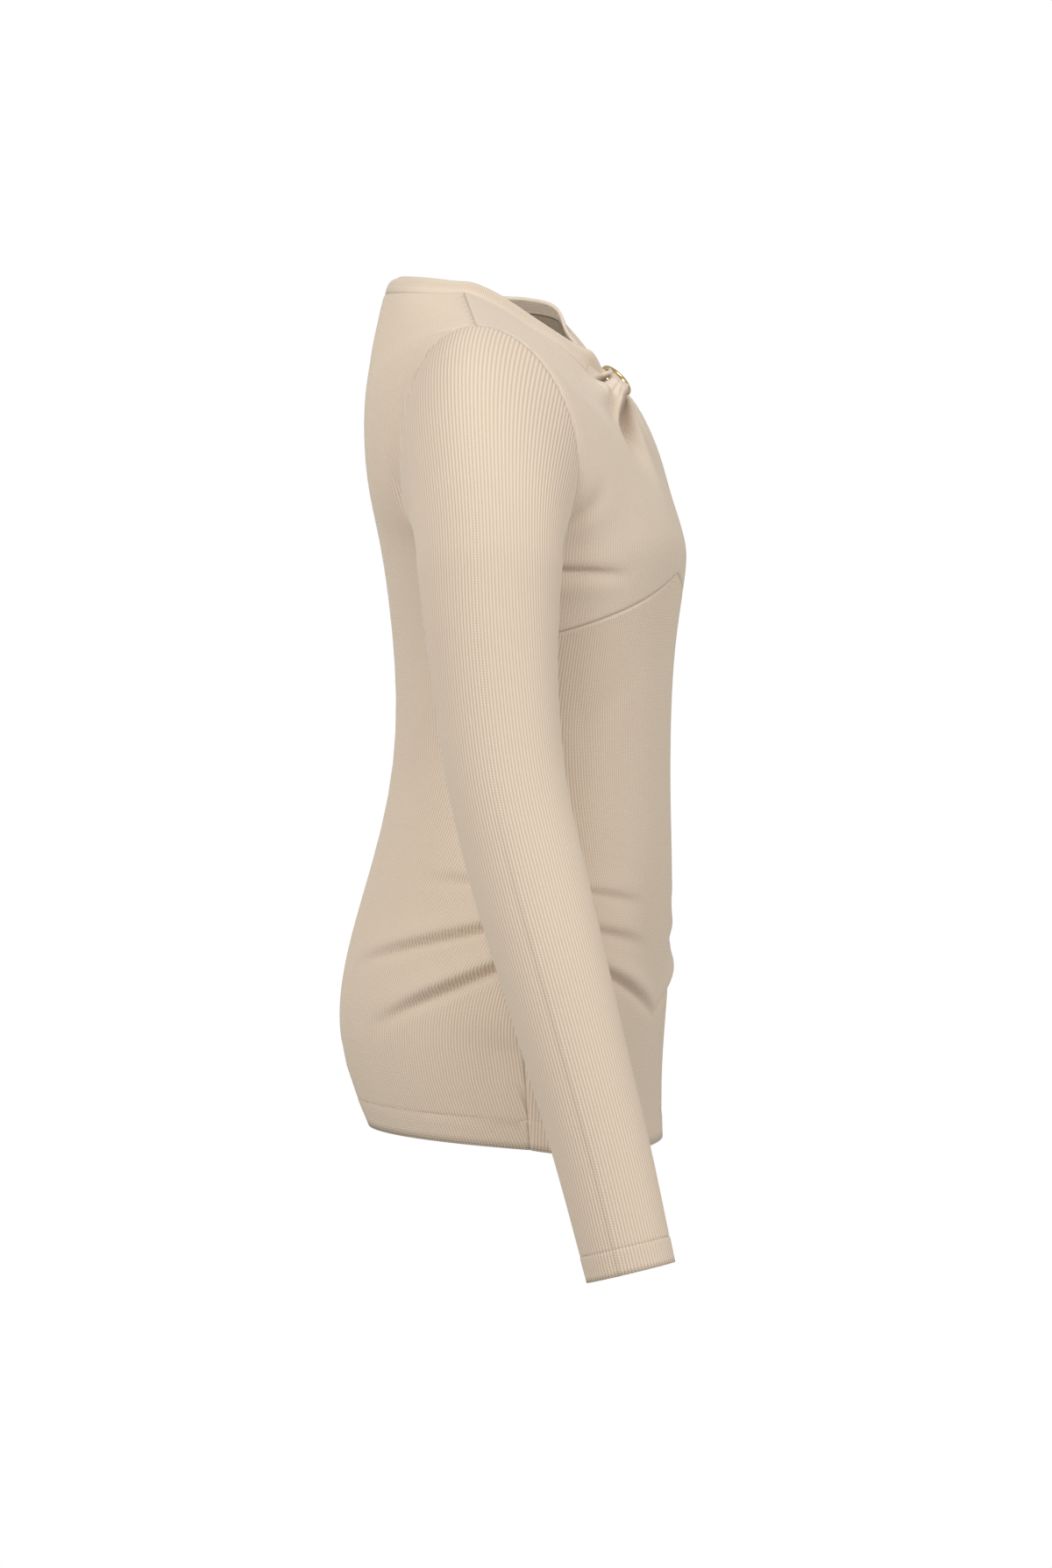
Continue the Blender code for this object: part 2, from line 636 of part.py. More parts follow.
def make_sleeve(name, side, knit):
    """A set-in sleeve from the armhole to the turned cuff."""
    right = side < 0
    turn = np.linspace(0, 2 * np.pi, 2 * ARMHOLE_ROWS + 1)[None, :-1]
    cap = np.linspace(0, CAP_SHARE, CAP_ROWS + 1)[:-1]
    arm = np.linspace(CAP_SHARE, 1, ARM_ROWS + 1)
    along = np.concatenate([cap, arm])[:, None]
    points = sleeve_form(turn, along, right)
    normals = sleeve_normal(turn, along, right)
    front = turn[0] <= np.pi
    row = np.where(front, 2 - turn[0] / np.pi, turn[0] / np.pi)
    body = np.where(
        front[:, None],
        form_normal(np.ones_like(row), row, True),
        form_normal(np.ones_like(row), row, False),
    )
    normals[0] = shared_normal(normals[0], body)
    points[0, :, 0] += SEAM_GAP
    pull_in(points, "first row")
    from_end = (CUFF_END - SLEEVE[0][0]) * (1 - along) / (1 - CAP_SHARE)
    thickness = WALL + turned_edge(from_end, CUFF_TURN)
    mirror = np.array([side, 1.0, 1.0])
    return cloth_wall(name, points * mirror, normals * mirror, thickness, knit, closed=True)


def make_neck_band(knit):
    """The bound edge of the neckline, from one side of the ring round the back to the other."""
    rows = np.linspace(3, 4, BAND_ROWS + 1)[:, None]
    front_places = front_across()
    front_places = front_places[front_places > BAND_START][None, :]
    back_places = np.linspace(1, 0, BACK_COLUMNS + 1)[None, 1:]
    pieces = []
    for side in (-1, 1):
        front = half_panel(front_places, rows, True, side)
        back = half_panel(back_places, rows, False, side)
        joined = [np.concatenate([front[k], back[k]], axis=1) for k in (0, 1)]
        pieces.append(joined)
    points = np.concatenate([pieces[0][0], pieces[1][0][:, ::-1][:, 1:]], axis=1)
    normals = np.concatenate([pieces[0][1], pieces[1][1][:, ::-1][:, 1:]], axis=1)
    points = points + normals * BAND_PROUD
    pull_in(points, "first row")
    return cloth_wall("neck_band", points, normals, BAND_WALL, knit)


def ring_frame():
    """Directions of the ring: across, up the slope of the chest, and out from the chest."""
    slope = np.radians(RING_SLOPE)
    turn = np.radians(RING_TURN)
    up_slope = np.array([0.0, np.sin(slope), np.cos(slope)])
    straight_out = np.cross((1.0, 0.0, 0.0), up_slope)
    across = np.array([np.cos(turn), 0.0, 0.0]) + straight_out * np.sin(turn)
    return across, up_slope, np.cross(across, up_slope)


def ring_tube(angles, around, radius):
    """Points of a tube of a given radius round the ring's wire."""
    across, up_slope, out = ring_frame()
    radial = np.cos(angles)[..., None] * across + np.sin(angles)[..., None] * up_slope
    away = radial * np.cos(around)[..., None] + out * np.sin(around)[..., None]
    return np.array(RING_CENTRE) + radial * RING_RADIUS + away * radius


def make_ring(gold):
    """The round metal ring."""
    angles = np.linspace(0, 2 * np.pi, RING_SEGMENTS + 1)[:-1, None]
    around = np.linspace(0, 2 * np.pi, RING_SIDES + 1)[None, :-1]
    points = ring_tube(*np.broadcast_arrays(angles, around), RING_WIRE)
    faces = grid_faces(RING_SEGMENTS, RING_SIDES, 0, True, True)
    last = (RING_SEGMENTS - 1) * RING_SIDES
    for j in range(RING_SIDES):
        after = (j + 1) % RING_SIDES
        faces.append([j, after, last + after, last + j])
    return add_object("ring", points.reshape(-1, 3), faces, gold)


def make_ring_tab(knit):
    """The loop of gathered cloth that holds the ring on its right side."""
    half = np.radians(TAB_HALF_ANGLE)
    angles = np.pi + np.linspace(-half, half, TAB_SEGMENTS + 1)[:, None]
    around = np.linspace(0, 2 * np.pi, RING_SIDES + 1)[None, :-1]
    angles, around = np.broadcast_arrays(angles, around)
    outer = ring_tube(angles, around, RING_WIRE + TAB_CLEAR + TAB_WALL)
    centre_line = ring_tube(angles, around, 0.0)
    return cloth_wall("ring_tab", outer, unit(outer - centre_line), TAB_WALL, knit, closed=True)


LATTICES = {True: softened_lattice(True), False: softened_lattice(False)}


def build():
    """Clears the scene and makes every piece."""
    for item in list(bpy.data.objects):
        bpy.data.objects.remove(item)
    knit = make_material("knit", KNIT_COLOUR, KNIT_ROUGHNESS, 0.0)
    gold = make_material("gold", GOLD_COLOUR, GOLD_ROUGHNESS, 1.0)
    make_back(knit)
    make_front_lower(knit)
    make_front_upper("front_upper_right", -1, knit)
    make_front_upper("front_upper_left", 1, knit)
    make_sleeve("sleeve_right", -1, knit)
    make_sleeve("sleeve_left", 1, knit)
    make_neck_band(knit)
    make_ring(gold)
    make_ring_tab(knit)


build()
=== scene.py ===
"""The knit top as it looks: ribbed cloth, its folds, seams and stitches, and the gold ring.

Frame: metres, +Z up, the front faces -Y, the wearer's right side is -X. The cloth lies on the
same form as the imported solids, worked out from the same tables. Its ribs are raised by one
node tree and its stitches are laid by another.
"""

import bpy
import numpy as np
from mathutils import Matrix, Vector


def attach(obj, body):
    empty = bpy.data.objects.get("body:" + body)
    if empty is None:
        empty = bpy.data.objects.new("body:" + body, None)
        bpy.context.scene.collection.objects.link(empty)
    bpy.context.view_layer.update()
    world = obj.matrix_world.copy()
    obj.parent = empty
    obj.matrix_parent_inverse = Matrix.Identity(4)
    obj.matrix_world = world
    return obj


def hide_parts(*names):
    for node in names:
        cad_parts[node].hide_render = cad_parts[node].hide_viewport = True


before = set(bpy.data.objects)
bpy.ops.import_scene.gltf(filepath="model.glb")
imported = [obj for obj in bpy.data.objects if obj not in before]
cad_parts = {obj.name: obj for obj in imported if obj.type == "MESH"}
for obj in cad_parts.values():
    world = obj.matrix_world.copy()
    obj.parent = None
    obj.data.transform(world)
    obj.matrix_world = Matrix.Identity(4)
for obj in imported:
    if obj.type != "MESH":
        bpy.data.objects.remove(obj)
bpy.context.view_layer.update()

# Driving sizes of the cut
HEM_Z = -0.571
UNDERARM_Z = -0.178
SHOULDER_TIP = (0.168, -0.0144, -0.0315)
NECK_POINT = (0.092, 0.0095, -0.003)
BAND_TOP_POINT = (0.083, 0.0085, 0.0046)
ARMHOLE_WIDEST_Z = -0.122
ARMHOLE_MIDDLE_Y = -0.0205
ARMHOLE_HALF_DEPTH = 0.059
ARMHOLE_ROUNDNESS = 1.3
BUST_SEAM_TOP_Z = -0.182
BUST_SEAM_DROP = 0.058
BUST_SEAM_POINTED = 0.65
HEM_DROP_FRONT = 0.008
HEM_RISE_BACK = 0.009
HEM_TILT_REACH = 0.12

# Cloth
WALL = 0.0016
SEAM_GAP = 0.0003
HEM_TURN = 0.020
CUFF_TURN = 0.017
TURN_EXTRA = 0.0009
BAND_WALL = 0.0022
BAND_PROUD = 0.0001

# Level sections of the body below the underarm
# z, half width, centre front y, centre back y, side seam y, roundness power
SECTIONS = (
    (-0.571, 0.168, -0.0995, 0.0870, -0.0500, 2.30),
    (-0.530, 0.172, -0.0975, 0.1055, -0.0480, 2.30),
    (-0.488, 0.173, -0.1035, 0.1108, -0.0460, 2.25),
    (-0.434, 0.160, -0.1090, 0.1015, -0.0430, 2.20),
    (-0.389, 0.143, -0.1115, 0.0878, -0.0400, 2.20),
    (-0.344, 0.129, -0.1105, 0.0762, -0.0370, 2.20),
    (-0.299, 0.121, -0.1115, 0.0706, -0.0340, 2.20),
    (-0.254, 0.124, -0.1125, 0.0708, -0.0310, 2.25),
    (-0.215, 0.132, -0.1160, 0.0735, -0.0270, 2.30),
    (-0.178, 0.144, -0.1240, 0.0770, -0.0205, 2.40),
)

# Rows of the yoke: 1 underarm, 2 shoulder tip, 3 band seam, 4 top edge of the neck band.
# The turn is the angle at which a row leaves the armhole for the centre.
# row, front y, front z, back y, back z, front power, back power, front turn, back turn
YOKE = (
    (1.00, -0.1240, -0.178, 0.0770, -0.178, 2.40, 2.40, 0.0, 0.0),
    (1.25, -0.1160, -0.150, 0.0835, -0.140, 2.30, 2.40, 10.0, 12.0),
    (1.50, -0.1045, -0.125, 0.0872, -0.105, 2.20, 2.40, 22.0, 26.0),
    (1.75, -0.0930, -0.104, 0.0885, -0.075, 2.05, 2.40, 28.0, 33.0),
    (2.00, -0.0850, -0.089, 0.0870, -0.050, 1.90, 2.40, 27.0, 30.0),
    (2.50, -0.0795, -0.077, 0.0840, -0.022, 1.70, 2.30, 15.0, 15.0),
    (3.00, -0.0755, -0.066, 0.0800, 0.0025, 1.50, 2.20, 0.0, 0.0),
    (4.00, -0.0715, -0.056, 0.0735, 0.0120, 1.46, 2.20, 0.0, 0.0),
)
BAND_SEAM_ROW = 3
BAND_MIDDLE_ROW = 3.5
TOP_ROW = 4
FRONT_DIP = 1.45
BACK_RISE = 1.8

# Sleeve stations from the upper arm to past the cuff
# drop below the origin, x, right sleeve y, left sleeve y, half depth, half thickness
SLEEVE = (
    (0.190, 0.2000, -0.0300, -0.0290, 0.0470, 0.0465),
    (0.222, 0.2035, -0.0315, -0.0295, 0.0440, 0.0440),
    (0.279, 0.2080, -0.0362, -0.0290, 0.0400, 0.0405),
    (0.335, 0.2125, -0.0445, -0.0280, 0.0380, 0.0385),
    (0.391, 0.2170, -0.0585, -0.0270, 0.0372, 0.0365),
    (0.448, 0.2215, -0.0750, -0.0265, 0.0350, 0.0345),
    (0.504, 0.2250, -0.0910, -0.0270, 0.0328, 0.0320),
    (0.572, 0.2280, -0.1100, -0.0290, 0.0308, 0.0290),
    (0.640, 0.2300, -0.1270, -0.0360, 0.0288, 0.0265),
    (0.700, 0.2310, -0.1420, -0.0440, 0.0272, 0.0245),
)
CUFF_END = 0.644

# Sleeve cap: its share of the sleeve, how far its cloth sets off outwards at the underarm and
# how much more at the shoulder, and how full it is
CAP_SHARE = 0.2
CAP_OUT_UNDERARM = 0.10
CAP_OUT_MORE = 0.80
CAP_OUT_POWER = 1.2
CAP_FULLNESS = 1.1

# The share of the sleeve at which the turned hem of the cuff begins
CUFF_SHARE = 1 - CUFF_TURN * (1 - CAP_SHARE) / (CUFF_END - SLEEVE[0][0])

# Ring at the centre front. It lies on the slope of the chest, turned a little to the right.
RING_CENTRE = (0.0, -0.0777, -0.0566)
RING_RADIUS = 0.0113
RING_WIRE = 0.0017
RING_SLOPE = 41.0
RING_TURN = 15.0
TAB_CLEAR = 0.0003
TAB_WALL = 0.0012
SEAT_GAP = 0.0005
SEAT_REACH = 0.021
SEAT_SHARPNESS = 6

# Folds that run from the ring, on both sides of the centre
# start x, start z, end x, end z, height (+ ridge, - trough), half width at the start, at the end
RING_FOLDS = (
    (0.000, -0.070, 0.000, -0.160, 0.0095, 0.0080, 0.0200),
    (0.010, -0.065, 0.044, -0.124, -0.0085, 0.0055, 0.0110),
    (0.021, -0.058, 0.060, -0.024, -0.0040, 0.0040, 0.0065),
    (0.020, -0.063, 0.080, -0.082, 0.0035, 0.0060, 0.0140),
)

# A soft fold that lifts the left side of the neckline, read the same way
LEFT_LIFT = (0.070, 0.005, 0.125, -0.080, 0.0120, 0.0130, 0.0220)

# How far over the back that fold runs out past the shoulder seam: where it ends, 1 at the seam
LIFT_REACH = 0.55

# Rolls and pleats of the cloth round the ring, in the ring's own plane, in metres from its
# centre: a runs across to the left, b up the slope of the chest
# start a, start b, end a, end b, height (+ roll, - pleat), half width at the start, at the end
GATHERS = (
    (-0.0120, -0.0045, -0.0400, -0.0180, 0.0050, 0.0070, 0.0150),
    (-0.0110, 0.0095, -0.0450, 0.0330, 0.0065, 0.0042, 0.0085),
    (-0.0300, 0.0220, -0.0800, 0.0580, 0.0055, 0.0100, 0.0140),
    (-0.0150, -0.0150, -0.0440, -0.0540, 0.0040, 0.0045, 0.0110),
    (0.0010, -0.0110, 0.0020, -0.0600, 0.0022, 0.0050, 0.0130),
    (0.0100, 0.0095, 0.0300, 0.0230, 0.0022, 0.0040, 0.0080),
    (0.0250, 0.0200, 0.0800, 0.0580, -0.0045, 0.0100, 0.0140),
)
GATHER_DEPTH = 0.022

# Deep pleats beside the ring, read the same way
DEEP_PLEATS = (
    (-0.0120, 0.0030, -0.0300, 0.0066, -0.0060, 0.0016, 0.0036),
    (-0.0075, -0.0135, -0.0330, -0.0660, -0.0085, 0.0028, 0.0080),
)

# Painted shade: how much darker the cloth is painted in the shelter of those pleats, read the same way
PAINTED_PLEAT_SHADE = (
    (-0.0125, 0.0032, -0.0250, 0.0058, 0.92, 0.0019, 0.0026),
    (-0.0050, -0.0150, -0.0230, -0.0600, 0.80, 0.0044, 0.0085),
)

# Folds round the body, read on the cloth laid flat from the centre front to the centre back
# start girth, start z, end girth, end z, height, half width (the side seam is at girth 0.2)
BODY_FOLDS = (
    (0.172, -0.203, 0.090, -0.200, 0.0020, 0.0085),
    (0.212, -0.152, 0.216, -0.112, -0.0050, 0.0065),
    (0.194, -0.172, 0.146, -0.128, -0.0042, 0.0095),
    (0.235, -0.290, 0.325, -0.338, -0.0038, 0.0085),
    (0.240, -0.270, 0.330, -0.300, 0.0018, 0.0110),
    (0.150, -0.300, 0.060, -0.235, -0.0022, 0.0100),
    (0.205, -0.520, 0.235, -0.480, -0.0035, 0.0160),
)
QUARTER_GIRTH = 0.2
FOLD_START = 0.16

# Sharp creases that fan from the side seams over the hips and one from the armhole, read the
# same way: a roll of cloth above the line and a narrow trough just below it
# start girth, start z, end girth, end z, height of the roll, depth of the trough
CREASES = (
    (0.200, -0.3970, 0.280, -0.3870, 0.0016, 0.0014),
    (0.200, -0.4200, 0.330, -0.4500, 0.0046, 0.0030),
    (0.200, -0.4440, 0.302, -0.4920, 0.0056, 0.0040),
    (0.200, -0.3960, 0.050, -0.4080, 0.0022, 0.0018),
    (0.200, -0.4190, 0.030, -0.4370, 0.0026, 0.0025),
    (0.200, -0.4350, -0.045, -0.4950, 0.0042, 0.0040),
    (0.192, -0.1890, 0.090, -0.1880, 0.0024, 0.0036),
)
CREASE_HOLD = 0.4
CREASE_SOFTENS = 1.2
ROLL_WIDTH = 0.0110
ROLL_EDGE = 0.0015
TROUGH_AWAY = 0.0026
TROUGH_WIDTH = 0.0028

# Heights between which the hip folds lie, and the steps of the rows there and elsewhere
FOLDS_LOW = -0.507
FOLDS_HIGH = -0.384
BACK_FOLD_STEP = 0.0025
BACK_PLAIN_STEP = 0.022
FRONT_FOLD_STEP = 0.0016
FRONT_PLAIN_STEP = 0.010

# Steps of the rows in a turned hem, and close to its stitches and to a seam at the top
HEM_STEP = 0.006
FINE_STEP = 0.001
FINE_AT_STITCHES = 0.002
FINE_AT_SEAM = 0.004

# Rows of the other cloth, as stretches: start, end, step
BACK_YOKE_ROWS = ((1.0, 2.0, 0.077), (2.0, 2.9, 0.07), (2.9, 3.0, 0.033))
UPPER_ROWS = ((0, 0.1, 0.002), (0.1, 0.6, 0.018), (0.6, 0.97, 0.0085), (0.97, 1, 0.005))
SLEEVE_ROWS = (
    (0, 0.02, 0.004),
    (0.02, CAP_SHARE, 0.012),
    (CAP_SHARE, CUFF_SHARE - 0.004, 0.0125),
    (CUFF_SHARE - 0.004, CUFF_SHARE + 0.004, 0.0009),
    (CUFF_SHARE + 0.004, 1, 0.006),
)

# How finely the form is read
ARC_STEPS = 160
LATTICE_ACROSS = 61
LATTICE_ROWS = 201
SOFTENING = 0.07
UNSOFTENED_EDGE = 0.18
NORMAL_STEP = 0.012
SLEEVE_STEP = 0.004
SLEEVE_TURN_STEP = 0.02
SEAM_BLEND = 0.2

# How near the centre line a point counts as on it, and the rows that end on the armhole
AT_CENTRE = 0.001
ARMHOLE_ROWS = (1.001, 1.999)

# The knit as it shows
RIB_PITCH = 0.0022
RIB_PARTS = 4
RIB_STEP = RIB_PITCH / RIB_PARTS
RIB_HEIGHT = 0.00050
BAND_RIB_PITCH = 0.0014
BAND_RIB_HEIGHT = 0.00030
CUT_SLACK = 0.3
ROW_SAMPLES = 161
EDGE_SHARE = 0.06

# Seams, hems and their stitches
SEAM_SINK = 0.0007
SEAM_SINK_REACH = 0.0011
SEAM_SHADE_REACH = 0.0006
TOP_SINK = 0.0003
HEM_SINK = 0.00035
HEM_SINK_REACH = 0.0008
HEM_PROUD = 0.00035
RIB_FADE = 0.0022
UPPER_RIBS = 0.62
RING_RIBS = 0.25
RING_RIBS_REACH = 0.055

# How dark each seam looks, from 0 to 1
SIDE_SHADE = 0.36
ARMHOLE_SHADE = 0.20
SHOULDER_SHADE = 0.42
BUST_SHADE = 0.28
BAND_SHADE = 0.08
HEM_SHADE = 0.14

# How the seam along the top of a panel sinks and how dark it looks
BUST_SEAM = (SEAM_SINK, BUST_SHADE)
BAND_SEAM = (TOP_SINK, BAND_SHADE)

# The line pressed into the sleeve: its turn, height, width, how dark its painted shade is and where it
# begins
PRESS_TURN = -0.06
PRESS_HEIGHT = 0.00045
PRESS_WIDTH = 0.0016
PRESS_PAINTED_SHADE = 0.10
PRESS_START = 0.42
PRESS_FADE = 0.2
SLEEVE_RADIUS = 0.033

# Camera and floor, as in the studio picture: distances in metres, angles in degrees
CAMERA_TARGET = (0.0, -0.015, -0.332)
CAMERA_DISTANCE = 3.7
CAMERA_YAW = 11.0
FRAME_HEIGHT = 1.0734
SENSOR = 36.0
FLOOR_Z = -0.72
FLOOR_HALF = 9
FLOOR_ROUGHNESS = 0.9

# Neck band, ring and tab
BAND_START = 0.04
BAND_ROWS = 9
BAND_CROWN = 0.0003
BAND_CROWN_POWER = 0.5
BAND_WIDTH = 0.012
BAND_SINK = 0.0003
BAND_LEAN = (0.0, -0.0030, 0.0022)
BAND_LEAN_REACH = 0.05
SEAM_TURN_REACH = 0.06
RING_SEGMENTS = 96
RING_SIDES = 24

# The near cloth over the ring. Its lines run in along the right front, over the wire and then
# straight on into the ring.
# place along the line, distance from the ring's centre, lift over the front, height over the
# ring's plane, how much it follows the front
NEAR_CLOTH = (
    (0.00, 0.0360, -0.0010, 0.0000, 1.0),
    (0.15, 0.0310, 0.0004, 0.0000, 1.0),
    (0.40, 0.0220, 0.0016, 0.0010, 0.8),
    (0.60, 0.0160, 0.0020, 0.0030, 0.3),
    (0.72, 0.0125, 0.0000, 0.0044, 0.0),
    (0.78, 0.0108, 0.0000, 0.0048, 0.0),
    (0.86, 0.0070, 0.0000, 0.0046, 0.0),
    (0.94, 0.0010, 0.0000, 0.0034, 0.0),
    (1.02, -0.0060, 0.0000, 0.0010, 0.0),
    (1.12, -0.0112, 0.0000, -0.0030, 0.0),
)
NEAR_MIDDLE = 196.0
NEAR_HALF = 60.0
NEAR_ROUNDED = 0.15
NEAR_EDGE = 0.22
NEAR_TUCK = 0.0012
NEAR_LOW = -0.0030
NEAR_ROWS = 84
NEAR_COLUMNS = 96
NEAR_SAMPLES = 110
NEAR_SAMPLED_ROWS = (1.2, 3.6)
NEAR_SAMPLE_REACH = 0.06
NEAR_SOFTNESS = 0.0018

# Pleats of the near cloth: angle round the ring, depth over the wire, depth outside it, half width
NEAR_PLEATS = (
    (168.0, 0.0009, 0.0085, 0.0015),
    (152.0, 0.0004, 0.0010, 0.0012),
    (186.0, 0.0003, 0.0008, 0.0014),
    (203.0, 0.0005, 0.0012, 0.0016),
    (220.0, 0.0003, 0.0008, 0.0014),
)
NEAR_PLEAT_RISE = 0.0035
NEAR_PLEAT_HOLD = 0.018
NEAR_PLEAT_FADE = 0.012

# Colours of the knit, its thread and the metal, as linear red, green and blue
KNIT_CREST = (0.80, 0.686, 0.553, 1.0)
# Darker, warmer colour of the rib valleys: painted shade between the ribs
KNIT_VALLEY_PAINTED_SHADE = (0.545, 0.400, 0.275, 1.0)
KNIT_FLECK = (0.70, 0.585, 0.46, 1.0)
# Dark colour of the seams, also used for the painted shade in the pleats beside the ring and along the
# sleeve's pressed line
SEAM_AND_PAINTED_SHADE_COLOUR = (0.17, 0.098, 0.056, 1.0)
THREAD_COLOUR = (0.66, 0.52, 0.40, 1.0)
GOLD_COLOUR = (0.83, 0.60, 0.25, 1.0)
GOLD_BRIGHT = (0.90, 0.70, 0.36, 1.0)
FLOOR_COLOUR = (0.42, 0.41, 0.40, 1.0)
WHITE = (1.0, 1.0, 1.0, 1.0)

# The knit's surface. Grains are given as their scale and how much fine detail they have.
RIB_SOFTNESS = 0.8
LOOP_PITCH = 0.0017
LOOP_SHADE = 0.12
LOOP_DEPTH = 0.6
FIBRES = (1400.0, 4.0)
CLOUDS = (9.0, 2.0)
FLECK_SHARE = 0.35
CLOUD_CHANGE = 0.05
KNIT_ROUGHNESS = 0.82
KNIT_ROUGHNESS_CHANGE = 0.12
KNIT_BUMP = 0.35
BUMP_DEPTH = 0.0002
KNIT_SHEEN = 0.25
KNIT_SHEEN_SPREAD = 0.5
KNIT_SHINE = 0.2

# The thread's surface, and the metal's with its faint wear
TWIST = (2400.0, 2.0)
THREAD_ROUGHNESS = 0.7
THREAD_SHEEN = 0.2
WEAR = (380.0, 5.0)
GOLD_ROUGHNESS = 0.08
GOLD_ROUGHNESS_CHANGE = 0.14
GOLD_BUMP = 0.08

# The stitches and their paths
STITCH_SPACING = 0.0026
STITCH_LENGTH = 0.0018
STITCH_THICKNESS = 0.00042
STITCH_SIDES = 6
STITCH_RINGS = 4
PATH_POINTS = 120
EDGE_STITCHED = 0.985
STITCH_LIFT = 0.0001
SEAM_STITCH_AWAY = 0.0026

# The studio's lamps: name, place, width, power; and the light of the surroundings
LAMPS = (
    ("key lamp", (-2.8, 0.5, 1.4), 1.4, 47.0),
    ("front lamp", (-1.5, -2.4, 0.9), 1.6, 37.0),
    ("back lamp", (-0.9, 2.6, 0.8), 1.6, 14.0),
)
WORLD_LIGHT = 0.45
WORLD_COLOUR = (1.0, 0.95, 0.875, 1.0)
LAMP_COLOUR = (0.97, 1.0, 1.05)


def smooth(table, column, at):
    """Reads one column of a table anywhere along its first column, on a smooth curve."""
    xs = np.array([row[0] for row in table])
    ys = np.array([row[column] for row in table])
    at = np.clip(np.asarray(at, float), xs[0], xs[-1])
    steps = np.diff(xs)
    slopes = np.diff(ys) / steps
    tangents = np.empty_like(ys)
    weighted = slopes[:-1] * steps[1:] + slopes[1:] * steps[:-1]
    tangents[1:-1] = weighted / (steps[1:] + steps[:-1])
    tangents[0] = slopes[0]
    tangents[-1] = slopes[-1]
    i = np.clip(np.searchsorted(xs, at, side="right") - 1, 0, len(steps) - 1)
    t = (at - xs[i]) / steps[i]
    return (
        ys[i] * (1 + 2 * t) * (1 - t) ** 2
        + tangents[i] * steps[i] * t * (1 - t) ** 2
        + ys[i + 1] * t**2 * (3 - 2 * t)
        + tangents[i + 1] * steps[i] * t**2 * (t - 1)
    )


def ease(t):
    """A soft step from 0 to 1."""
    t = np.clip(t, 0.0, 1.0)
    return t * t * (3 - 2 * t)


def unit(vectors):
    """The same vectors at length 1."""
    return vectors / np.linalg.norm(vectors, axis=-1, keepdims=True)


def armhole(turn):
    """The armhole seam. turn is 0 at the shoulder tip, pi/2 in front and pi under the arm."""
    turn = np.asarray(turn, float)
    up = np.cos(turn)
    above = SHOULDER_TIP[2] - ARMHOLE_WIDEST_Z
    below = ARMHOLE_WIDEST_Z - UNDERARM_Z
    underarm_x = SECTIONS[-1][1]
    x = underarm_x + (SHOULDER_TIP[0] - underarm_x) * ((1 + up) / 2) ** ARMHOLE_ROUNDNESS
    tip_lean = (SHOULDER_TIP[1] - ARMHOLE_MIDDLE_Y) * np.clip(up, 0, 1) ** 2
    y = ARMHOLE_MIDDLE_Y - ARMHOLE_HALF_DEPTH * np.sin(turn) + tip_lean
    z = ARMHOLE_WIDEST_Z + np.where(up > 0, above, below) * up
    return np.stack([x, y, z], -1)


def level(row):
    """Height of a row below the underarm."""
    return HEM_Z + (UNDERARM_Z - HEM_Z) * np.clip(row, 0, 1)


def row_at(z):
    """The row of a height below the underarm."""
    return (np.asarray(z, float) - HEM_Z) / (UNDERARM_Z - HEM_Z)


def edge_point(row, front):
    """Where a row ends: on the side seam, the armhole, the shoulder seam or the band's side."""
    row = np.asarray(row, float)
    z = level(row)
    side = np.stack([smooth(SECTIONS, 1, z), smooth(SECTIONS, 4, z), z], -1)
    turn = np.pi * (2 - np.clip(row, 1, 2))
    arm = armhole(turn if front else -turn)
    along = np.clip(row - 2, 0, 1)[..., None]
    seam = np.array(SHOULDER_TIP) * (1 - along) + np.array(NECK_POINT) * along
    up_band = np.clip(row - 3, 0, 1)[..., None]
    band = np.array(NECK_POINT) * (1 - up_band) + np.array(BAND_TOP_POINT) * up_band
    row = row[..., None]
    return np.where(row <= 1, side, np.where(row <= 2, arm, np.where(row <= 3, seam, band)))


def spread_angle(share, start, width, depth, reach):
    """The angle at which a quarter outline has run through a share of its length."""
    shape = np.shape(share)
    columns = [np.ravel(a) for a in np.broadcast_arrays(share, start, width, depth, reach)]
    share, start, width, depth, reach = columns
    angles = start + (np.pi / 2 - start) * np.linspace(0, 1, ARC_STEPS)[:, None]
    x = width * np.clip(np.cos(angles), 0, 1) ** reach
    y = depth * np.sin(angles) ** reach
    run = np.zeros_like(x)
    run[1:] = np.cumsum(np.hypot(np.diff(x, axis=0), np.diff(y, axis=0)), axis=0)
    run /= run[-1]
    found = [np.interp(share[i], run[:, i], angles[:, i]) for i in range(len(share))]
    return np.reshape(found, shape)


def table_point(across, row, front):
    """A point of the left half, read from the tables. across is 0 at the centre and 1 at the edge."""
    across, row = np.broadcast_arrays(np.asarray(across, float), np.asarray(row, float))
    edge = edge_point(row, front)
    low = row <= 1
    z = level(row)
    yoke_y, yoke_z, yoke_power, yoke_turn = (1, 2, 5, 7) if front else (3, 4, 6, 8)
    centre_y = np.where(low, smooth(SECTIONS, 2 if front else 3, z), smooth(YOKE, yoke_y, row))
    centre_z = np.where(low, z, smooth(YOKE, yoke_z, row))
    power = np.where(low, smooth(SECTIONS, 5, z), smooth(YOKE, yoke_power, row))
    start = np.radians(np.where(low, 0.0, np.clip(smooth(YOKE, yoke_turn, row), 0, 90)))
    reach = 2.0 / power
    begun = np.sin(start) ** reach
    middle_y = (edge[..., 1] - begun * centre_y) / (1 - begun)
    width = edge[..., 0] / np.cos(start) ** reach
    angle = spread_angle(1 - across, start, width, centre_y - middle_y, reach)
    sine = np.sin(angle) ** reach
    share = np.clip((sine - begun) / (1 - begun), 0, 1)
    x = width * np.clip(np.cos(angle), 0, 1) ** reach
    y = middle_y + (centre_y - middle_y) * sine
    z = edge[..., 2] + (centre_z - edge[..., 2]) * share ** (FRONT_DIP if front else BACK_RISE)
    tilt = (-HEM_DROP_FRONT if front else HEM_RISE_BACK) * share
    tilt *= 1 - ease((z - HEM_Z) / HEM_TILT_REACH)
    return np.stack([x, y, z + np.where(low, tilt, 0)], -1)


